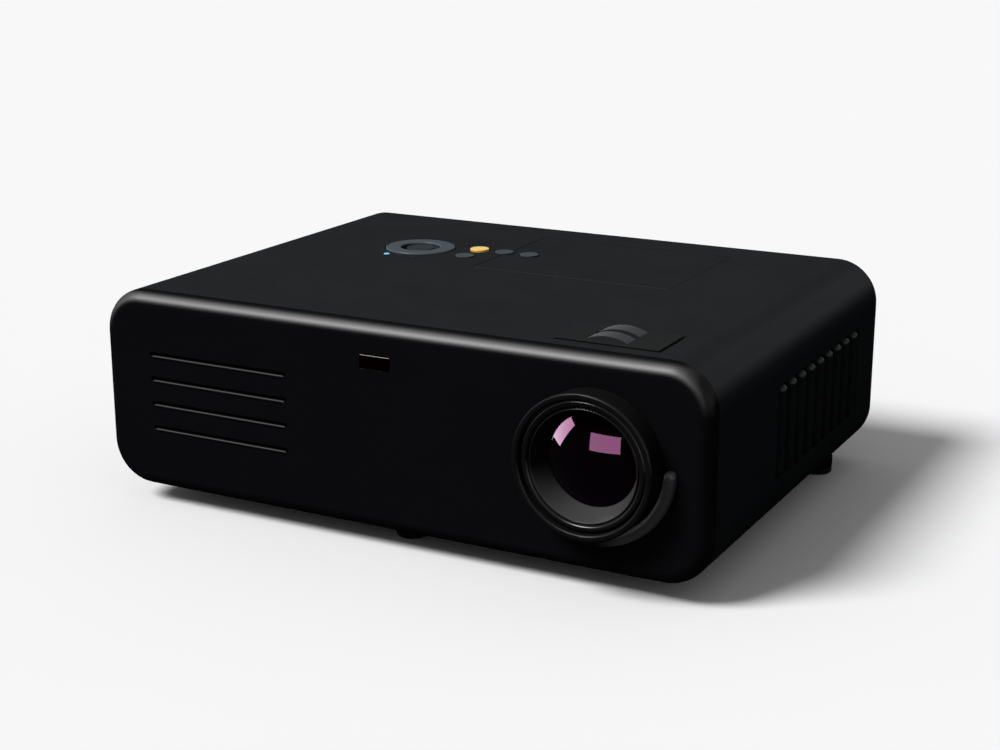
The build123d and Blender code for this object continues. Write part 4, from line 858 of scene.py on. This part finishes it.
def hang_soft_box(name, glass, level, turn, rise, wide, high, lean):
    """A lamp that only the front glass sees: it stands close before the lens and lights nothing else."""
    out = Vector((sin(turn) * cos(rise), -cos(turn) * cos(rise), sin(rise)))
    width, height = (2 * SOFT_BOX_REACH * tan(angle / 2) for angle in (wide, high))
    data = adjust(bpy.data.lights.new(name, "AREA"), shape="RECTANGLE", size=width, size_y=height)
    data.energy = level * pi * data.size * data.size_y
    lamp = adjust(
        add_object(name, data), location=glass + SOFT_BOX_REACH * out, visible_diffuse=False,
        visible_camera=False, visible_transmission=False, visible_volume_scatter=False,
    )
    aim(lamp, out)
    lamp.rotation_quaternion = lamp.rotation_quaternion @ Quaternion((0, 0, 1), lean)
    lamp.light_linking.receiver_collection = bpy.data.collections[MIRRORS]


def place_camera(scene):
    data = adjust(bpy.data.cameras.new("camera"), lens=63.59, sensor_width=36.0)
    scene.camera = adjust(add_object("camera", data), location=CAMERA_STANDS)
    aim(scene.camera, CAMERA_LOOKS, "-Z")


class PROJECTOR_OT_stage(Operator):
    """Lays the floor, sets the lamps and the world, and places the camera"""

    bl_idname = "projector.stage"
    bl_label = "Stage"

    def execute(self, context):
        scene = context.scene
        settings = scene.projector_stage
        kept = set(NODES.values()) | set(frame["bodies"].values())
        for left_over in [o for o in bpy.data.objects if o not in kept]:
            bpy.data.objects.remove(left_over)
        lay_floor(settings)
        set_world(scene, settings)
        set_lamps(settings)
        place_camera(scene)
        scene.view_settings.view_transform = "Standard"
        return {"FINISHED"}


# Lens


def turn_cell(centre):
    """The front cell: a bead round its mouth, a groove and the cone that leads to the glass."""
    rear = corner("lens_cell", high=True).y / MM
    seat = rear - 4.5
    mouth = corner("lens_hood").y / MM
    profile = (
        (27.85, rear), (27.85, mouth + 3.3), (27.3, mouth + 3.3), (27.3, mouth + 1.9, 1.1),
        (24.5, mouth + 1.9, 1.3), (24.5, mouth + 3.4), (23.9, mouth + 3.4), (23.9, mouth + 2.7, 0.25),
        (23.4, mouth + 2.7), (20.0, seat - 1.5), (20.0, seat), (21.6, seat), (21.6, rear),
    )
    return deliver("front_cell", turned(profile, centre), "lens_cell", replace=True, edge=0.1)


def grind_glass(centre):
    """The crowned front glass, from an arc spun about the lens axis."""
    low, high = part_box("front_lens")
    rim = 19.9 * MM
    crown = 4.0 * MM
    bulge = rim**2 / (2 * crown) + crown / 2
    bm = bmesh.new()
    tip = bm.verts.new((centre.x, low.y, centre.z))
    ball = Vector((centre.x, low.y + bulge, centre.z))
    swept = bmesh.ops.spin(bm, geom=[tip], cent=ball, axis=(0, 0, 1), angle=asin(rim / bulge), steps=24)
    last = next(part for part in swept["geom_last"] if isinstance(part, bmesh.types.BMVert))
    outer = high.x - centre.x
    for across, along in ((outer, last.co.y), (outer, high.y), (0.0, high.y)):
        new = bm.verts.new((centre.x + across, along, centre.z))
        bm.edges.new((last, new))
        last = new
    turn_wire(bm, centre, "Y", 128)
    return deliver("front_glass", bm, "front_lens", replace=True, edge=0.1)


class PROJECTOR_OT_lens(Operator):
    """Turns the front cell with its bead and cone, and grinds the front glass"""

    bl_idname = "projector.lens"
    bl_label = "Lens"

    def execute(self, context):
        centre = middle("front_lens")
        for mount in (turn_cell(centre), NODES["lens_hood"]):
            mount.visible_glossy = False
        bpy.data.collections[MIRRORS].objects.link(grind_glass(centre))
        return {"FINISHED"}


# Guard rib


def round_end(bm, end, face):
    """Draws an end face out into a rounded nose."""
    reach = 2.4 * MM
    heading = end.normal.copy()
    seat = end.calc_center_median()
    seat.y = (face + 0.6) * MM
    gone, size = 0.0, 1.0
    for step in (25, 50, 70, 85):
        grown = bmesh.ops.extrude_face_region(bm, geom=[end])["geom"]
        verts = [part for part in grown if isinstance(part, bmesh.types.BMVert)]
        if end.is_valid:
            bmesh.ops.delete(bm, geom=[end], context="FACES_ONLY")
        end = next(part for part in grown if isinstance(part, bmesh.types.BMFace))
        ahead, narrow = reach * sin(radians(step)), cos(radians(step))
        bmesh.ops.translate(bm, vec=heading * (ahead - gone), verts=verts)
        pivot = Matrix.Translation(-(seat + heading * ahead))
        bmesh.ops.scale(bm, vec=(narrow / size,) * 3, space=pivot, verts=verts)
        gone, size = ahead, narrow


class PROJECTOR_OT_guard(Operator):
    """Raises the rounded rib that guards the lens"""

    bl_idname = "projector.guard"
    bl_label = "Guard rib"

    def execute(self, context):
        centre = middle("front_lens")
        face = corner("ir_window").y / MM - 0.3
        inner, outer, root, brow, soft = 31.2, 36.3, face + 0.6, face - 3.7, 2.4
        start, sweep = radians(3), radians(91)
        bm = bmesh.new()
        draw_wire(bm, ((inner, root), (inner, brow, soft), (outer, brow, soft), (outer, root)), centre, "Y")
        bmesh.ops.rotate(bm, cent=centre, matrix=Matrix.Rotation(start, 3, "Y"), verts=bm.verts[:])
        first = bmesh.ops.contextual_create(bm, geom=bm.verts[:])["faces"][0]
        bmesh.ops.spin(bm, geom=[first], cent=centre, axis=(0, 1, 0), angle=sweep, steps=60)
        face_outwards(bm)
        for end in [f for f in bm.faces if len(f.verts) > 8]:
            round_end(bm, end, face)
        face_outwards(bm)
        deliver("guard_rib", bm, "front_bezel", material=finish("guard_black"), edge=0.05)
        return {"FINISHED"}


# Front details


def fit_window(low, high):
    """The receiver window: a block that stands a little proud, on a flange behind the bezel."""
    flange, proud, soft = 1.6, 0.45, 0.45
    window = bmesh.new()
    near = (low.x + flange, low.y - proud, low.z + flange)
    add_block(window, near, (high.x - flange, high.y - 1.0, high.z - flange), soft)
    add_block(window, (low.x, high.y - 1.4, low.z), high, 0.2)
    deliver("receiver_window", window, "ir_window", replace=True, edge=0.05)


def fit_lips(face):
    """A soft lip along the lower edge of each louvre slot."""
    middle_x, middle_z, wide, gap, pitch, slots = -86.2, 56.2, 74.8, 2.2, 11.6, 4
    half = (wide - gap) / 2
    lips = bmesh.new()
    for place in range(slots):
        bottom = middle_z + (place - (slots - 1) / 2) * pitch - gap / 2
        low = (middle_x - half, face - 0.3, bottom - 1.1)
        add_block(lips, low, (middle_x + half, face + 2.4, bottom + 0.75), 0.85)
    deliver("louvre_lips", lips, "front_bezel", material=finish("louvre_lip"), slot="bezel_black", edge=0.02)


def fit_filter():
    """The dust filter against the intake fan: a frame with a pad."""
    left, right, low, high, rim = -134.0, -46.0, 31.0, 81.0, 2.5
    fan = corner("intake_fan_frame").y / MM
    front, back = fan - 2.6, fan - 0.1
    pad = bmesh.new()
    add_frame(pad, left, right, low, high, rim, front, back)
    add_block(pad, (left + rim, back - 1.4, low + rim), (right - rim, back - 0.3, high - rim))
    deliver("dust_filter", pad, "intake_fan_frame", slot="nylon_black", edge=0.2)


class PROJECTOR_OT_front(Operator):
    """Fits the receiver window, the lips of the louvre and the dust filter behind it"""

    bl_idname = "projector.front"
    bl_label = "Front details"

    def execute(self, context):
        low, high = in_mm("ir_window")
        fit_window(low, high)
        fit_lips(low.y - 0.3)
        fit_filter()
        return {"FINISHED"}


# Wheels and plate


def trim_rim(node, plane, shift):
    """Moves the side of a wheel's rim that lies in a plane across the axle, by a shift in mm."""
    bm = reworked(node)
    axle = middle("wheel_shaft")
    hub = 10 * MM
    rim = [
        vert for vert in bm.verts
        if abs(vert.co.y - plane) < 1e-5 and off_axis(vert.co - axle, "Y").length > hub
    ]
    bmesh.ops.translate(bm, vec=(0, shift * MM, 0), verts=rim)
    deliver(node + "_narrow", bm, node, replace=True, edge=0.45, from_frame=True)


def lay_plate():
    """The plate round the wheels: a lip over a shadow gap, and a window that closes in on the rims."""
    low, high = in_mm("wheel_plate")
    centre = ((low.x + high.x) / 2, (low.y + high.y) / 2)
    hole = (middle("wheel_shaft").x / MM, centre[1] + 1.09)
    top, under, roof = high.z, high.z - 0.35, high.z - 0.9
    width, depth, step = high.x - low.x, high.y - low.y, 0.9
    bm = bmesh.new()
    rings = (
        (centre, width, depth, top), (centre, width, depth, under),
        (centre, width - step, depth - step, under), (centre, width - step, depth - step, roof),
        (hole, 31.1, 23.6, roof), (hole, 31.1, 23.6, low.z), (hole, 28.7, 21.2, low.z),
        (hole, 28.7, 21.2, roof), (hole, 21.96, 21.0, roof), (hole, 18.9, 20.9, top),
    )
    join_rings(bm, [rectangle(bm, *ring) for ring in rings])
    deliver("wheel_surround", bm, "wheel_plate", replace=True, edge=0.08)


class PROJECTOR_OT_wheels(Operator):
    """Narrows the rims of the two wheels and lays the plate round them over a shadow gap"""

    bl_idname = "projector.wheels"
    bl_label = "Wheels and plate"

    def execute(self, context):
        narrowing = 1.3
        trim_rim("focus_wheel", corner("focus_wheel", high=True).y, -narrowing)
        trim_rim("zoom_wheel", corner("zoom_wheel").y, narrowing)
        lay_plate()
        return {"FINISHED"}


# Controls


def mould_key(node, rise):
    """A round key with a dished top, a skirt, a flange and a stem."""
    foot = corner(node).z / MM
    top = corner("lamp_cover", high=True).z / MM + rise / MM
    profile = (
        (0, top - 0.16), (2.4, top - 0.11), (3.7, top, 0.5), (4.75, top, 0.42), (4.75, foot + 5.0),
        (5.85, foot + 5.0), (5.85, foot + 4.2), (1.6, foot + 4.2), (1.6, foot), (0, foot),
    )
    deliver(node + "_cap", turned(profile, middle(node), "Z", 64), node, replace=True, edge=0.08)


def mould_select():
    """The button in the ring: a dished top, a skirt and a stem."""
    node = "select_button"
    foot = corner(node).z / MM
    top = corner("lamp_cover", high=True).z / MM + 0.35
    profile = (
        (0, top - 0.3), (3.6, top - 0.22), (6.0, top, 0.6), (7.0, top - 0.05, 0.45),
        (7.0, foot + 8.5), (2.0, foot + 8.5), (2.0, foot), (0, foot),
    )
    button = turned(profile, middle(node), "Z", 80)
    # The darker select plastic is painted shade for the button sunk in the ring.
    slate = finish("select_slate")
    deliver("select_cap", button, node, slot="ring_slate", material=slate, replace=True, edge=0.08)


def lower_ring(drop):
    """The control ring, with the crown brought down and the rest as it is in the solid."""
    bm = reworked("control_ring")
    start = corner("control_ring", high=True).z - 0.9 * MM
    crown = [vert for vert in bm.verts if vert.co.z > start]
    bmesh.ops.translate(bm, vec=(0, 0, -drop), verts=crown)
    deliver("four_way_ring", bm, "control_ring", replace=True, edge=0.2, from_frame=True)


class PROJECTOR_OT_controls(Operator):
    """Moulds the dished keys, the select button and the four-way ring"""

    bl_idname = "projector.controls"
    bl_label = "Controls"

    def execute(self, context):
        settings = context.scene.projector_controls
        for node in ("menu_key", "source_key", "auto_key"):
            mould_key(node, settings.key_rise)
        mould_key("power_key", settings.power_key_rise)
        mould_select()
        lower_ring(settings.ring_drop)
        return {"FINISHED"}


# Feet


def cut_foot(node):
    """A thumb screw with a fluted knob under a coarse thread."""
    low, high = in_mm(node)
    centre = middle(node)
    knob, foot = (high.x - low.x) / 2, low.z
    knob_low, knob_high, pitch, turns = foot + 1.4, foot + 7.3, 2.0, 9
    steps, every, flute = 96, 4, 0.5 * MM
    profile = [(0, foot), (2.2, foot), (2.2, knob_low)]
    profile += [(knob, knob_low, 1.1), (knob, knob_high, 0.4), (3.7, knob_high)]
    for turn in range(turns):
        profile += [(4.0, knob_high + (turn + 0.5) * pitch), (3.6, knob_high + (turn + 1) * pitch)]
    profile += [(3.6, high.z), (0, high.z)]
    bm = turned(profile, centre, "Z", steps)
    for vert in bm.verts:
        out = off_axis(vert.co - centre, "Z")
        step = round(atan2(out.y, out.x) / (2 * pi / steps))
        if out.length > (knob - 1.2) * MM and step % every == 0:
            vert.co -= out.normalized() * flute
    deliver(node + "_fluted", bm, node, replace=True, edge=0.1)


class PROJECTOR_OT_feet(Operator):
    """Cuts the grip flutes and the thread of the adjusting feet"""

    bl_idname = "projector.feet"
    bl_label = "Feet"

    def execute(self, context):
        for node in ("front_foot_screw", "rear_left_foot_screw", "rear_right_foot_screw"):
            cut_foot(node)
        return {"FINISHED"}


# Sockets, placed across the bay in mm

VIDEO_AT = (-90.0, -52.0)
ROUND_COLOURED = ((-22.0, "key_amber", "yellow"), (-7.0, "heat_white", "white"), (8.0, "socket_red", "red"))
FOUR_PIN_AT, AUDIO_AT, USB_AT = 24.0, 38.0, 51.0


def dress_video(wall, rise):
    """The slanted metal shells, the contact holes and the hexagonal nuts of the two video sockets."""
    shells, holes, nuts = bmesh.new(), bmesh.new(), bmesh.new()
    slope = 4.2 / tan(radians(80))
    face, columns, pitch = wall + 5.78, 5, 2.5
    for x in VIDEO_AT:
        rings = []
        for grow, place in ((0.24, wall), (0.24, wall + 6.1), (0.02, wall + 6.1), (0.02, wall)):
            wide, high = 8.5 + grow, 4.2 + grow
            under = wide - 2 * slope
            corners = ((wide, high), (-wide, high), (-under, -high), (under, -high))
            rings.append([shells.verts.new(at(x + a, place, rise + b)) for a, b in corners])
        join_rings(shells, rings)
        for row, offset in ((2.2, 0), (0.0, 0.6), (-2.2, 0)):
            for column in range(columns):
                hole = at(x + (column - (columns - 1) / 2) * pitch + offset, 0, rise + row)
                add_turned(holes, sleeve(0, 0.52, face, face + 0.06), hole, steps=12)
        for side in (-12.5, 12.5):
            nut = at(x + side, 0, rise)
            add_turned(nuts, sleeve(1.5, 2.55, wall + 0.02, wall + 4.6, 0.3), nut, steps=6)
    deliver("video_shells", shells, "vga_sockets", slot="steel", edge=0.05)
    deliver("video_contacts", holes, "vga_sockets", slot="socket_black", edge=0.01)
    deliver("video_nuts", nuts, "vga_sockets", slot="steel", edge=0.1)


def dress_round(wall, rise):
    """The coloured rings, the metal barrels and the contacts of the round sockets."""
    barrels, contacts = bmesh.new(), bmesh.new()
    front = wall + 6.4
    for x, slot, name in ROUND_COLOURED:
        centre = at(x, 0, rise)
        add_turned(barrels, sleeve(4.16, 4.42, wall + 0.02, front + 0.1), centre)
        insert = turned(sleeve(1.66, 3.75, front - 0.02, front + 0.28, 0.15, 0.15), centre, steps=48)
        own = "window_red" if slot == "socket_red" else slot
        deliver("phono_insert_" + name, insert, "av_sockets", slot=own, material=finish(slot), edge=0.03)
    add_turned(barrels, sleeve(1.8, 3.2, wall, wall + 0.7, 0.25, 0.25), at(AUDIO_AT, 0, rise))
    add_turned(barrels, sleeve(4.1, 4.88, wall, wall + 0.35, 0.1), at(FOUR_PIN_AT, 0, rise))
    deliver("round_socket_metal", barrels, "av_sockets", slot="steel", edge=0.04)
    for across, up in ((-1.1, 0.9), (1.1, 0.9), (-0.75, -0.9), (0.75, -0.9)):
        pin = at(FOUR_PIN_AT + across, 0, rise + up)
        add_turned(contacts, sleeve(0, 0.32, wall - 0.02, wall + 0.05), pin, steps=12)
    deliver("round_socket_contacts", contacts, "av_sockets", slot="brass_insert", edge=0.01)


def dress_usb(wall, rise):
    """The metal rim and the four contact strips of the square socket."""
    shell, strips = bmesh.new(), bmesh.new()
    wide, high, rim, thick = 5.2, 4.9, 0.4, 0.08
    add_frame(shell, USB_AT - wide, USB_AT + wide, rise - high, rise + high, rim, wall - 0.6, wall + 0.3)
    deliver("usb_shell", shell, "av_sockets", slot="steel", edge=0.05)
    for across in (-1.25, 1.25):
        for low in (rise - 1.6 - thick, rise + 1.6):
            strip = USB_AT + across
            add_block(strips, (strip - 0.5, wall - 4.4, low), (strip + 0.5, wall - 0.3, low + thick))
    deliver("usb_contacts", strips, "av_sockets", slot="brass_insert", edge=0.01)


def dress_inlet():
    """The three blades of the power inlet."""
    low, high = in_mm("power_inlet")
    centre = (low + high) / 2
    half_wide, half_high = 1.05, 2.05
    blades = bmesh.new()
    for across, up in ((-7.0, -2.0), (0.0, 2.0), (7.0, -2.0)):
        x, z = centre.x + across, centre.z + up
        near, far = (x - half_wide, low.y + 2.7, z - half_high), (x + half_wide, high.y - 4.9, z + half_high)
        add_block(blades, near, far, 0.35)
    deliver("inlet_blades", blades, "power_inlet", slot="steel", edge=0.03)


class PROJECTOR_OT_sockets(Operator):
    """Adds the shells, pins, coloured rings and nuts of the sockets at the back"""

    bl_idname = "projector.sockets"
    bl_label = "Sockets"

    def execute(self, context):
        wall = corner("vga_sockets", high=True).y / MM - 5.8
        rise = middle("vga_sockets").z / MM
        dress_video(wall, rise)
        dress_round(wall, rise)
        dress_usb(wall, rise)
        dress_inlet()
        return {"FINISHED"}


# Screws and mouldings


class PROJECTOR_OT_screws(Operator):
    """Turns the case screws with domed heads and cross recesses"""

    bl_idname = "projector.screws"
    bl_label = "Screws"

    def execute(self, context):
        low, high = in_mm("case_screws")
        head, shank, neck, cross = 2.9, 1.5, low.z + 1.8, 0.62
        profile = (
            (0, low.z), (1.6, low.z + 0.05), (head, low.z + 0.75, 0.4), (head, neck), (shank, neck),
            (shank, high.z), (0, high.z),
        )
        screws, crosses = bmesh.new(), bmesh.new()
        for x in (low.x + head, high.x - head):
            for y in (low.y + head, high.y - head):
                add_turned(screws, profile, at(x, y, 0), "Z", 40)
                for wide, deep in ((head / 2, cross / 2), (cross / 2, head / 2)):
                    near, far = (x - wide, y - deep, low.z - 0.03), (x + wide, y + deep, low.z + 0.3)
                    add_block(crosses, near, far)
        deliver("case_screw_set", screws, "case_screws", replace=True, edge=0.08)
        deliver("screw_recesses", crosses, "case_screws", slot="nylon_black", edge=0.02)
        return {"FINISHED"}


class PROJECTOR_OT_mouldings(Operator):
    """Finishes every node, and softens the edges of those that keep their own shape"""

    bl_idname = "projector.mouldings"
    bl_label = "Mouldings"

    def execute(self, context):
        special = {"left_vent": "vent_black", "right_vent": "vent_black"}
        for name, piece in sorted(NODES.items()):
            for place in piece.material_slots:
                place.material = finish(special.get(name, place.material.name.split(".")[0]))
            if not piece.hide_render:
                soften(piece, from_frame=True)
        return {"FINISHED"}


OPERATORS = (
    PROJECTOR_OT_stage, PROJECTOR_OT_lens, PROJECTOR_OT_guard, PROJECTOR_OT_front, PROJECTOR_OT_wheels,
    PROJECTOR_OT_controls, PROJECTOR_OT_feet, PROJECTOR_OT_sockets, PROJECTOR_OT_screws,
    PROJECTOR_OT_mouldings,
)


class PROJECTOR_PT_sidebar(Panel):
    """Lists the projector's settings and the steps that make it"""

    bl_idname = "PROJECTOR_PT_sidebar"
    bl_label = "Projector"
    bl_space_type = "VIEW_3D"
    bl_region_type = "UI"
    bl_category = "Projector"

    def draw(self, context):
        for group in GROUPS:
            box = self.layout.box()
            settings = getattr(context.scene, scene_name(group))
            for name in group.__annotations__:
                box.prop(settings, name)
        for operator in OPERATORS:
            self.layout.operator(operator.bl_idname)


def scene_name(group):
    """The scene property that holds a settings group, such as projector_case."""
    return group.__name__.replace("Projector", "projector_").lower()


def register():
    for made in (*GROUPS, *OPERATORS, PROJECTOR_PT_sidebar):
        bpy.utils.register_class(made)
    for group in GROUPS:
        setattr(bpy.types.Scene, scene_name(group), PointerProperty(type=group))


def unregister():
    for group in reversed(GROUPS):
        delattr(bpy.types.Scene, scene_name(group))
    for made in reversed((*GROUPS, *OPERATORS, PROJECTOR_PT_sidebar)):
        bpy.utils.unregister_class(made)


def main():
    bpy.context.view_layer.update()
    register()
    for operator in OPERATORS:
        getattr(bpy.ops.projector, operator.bl_idname.split(".")[1])()


if __name__ == "__main__":
    main()
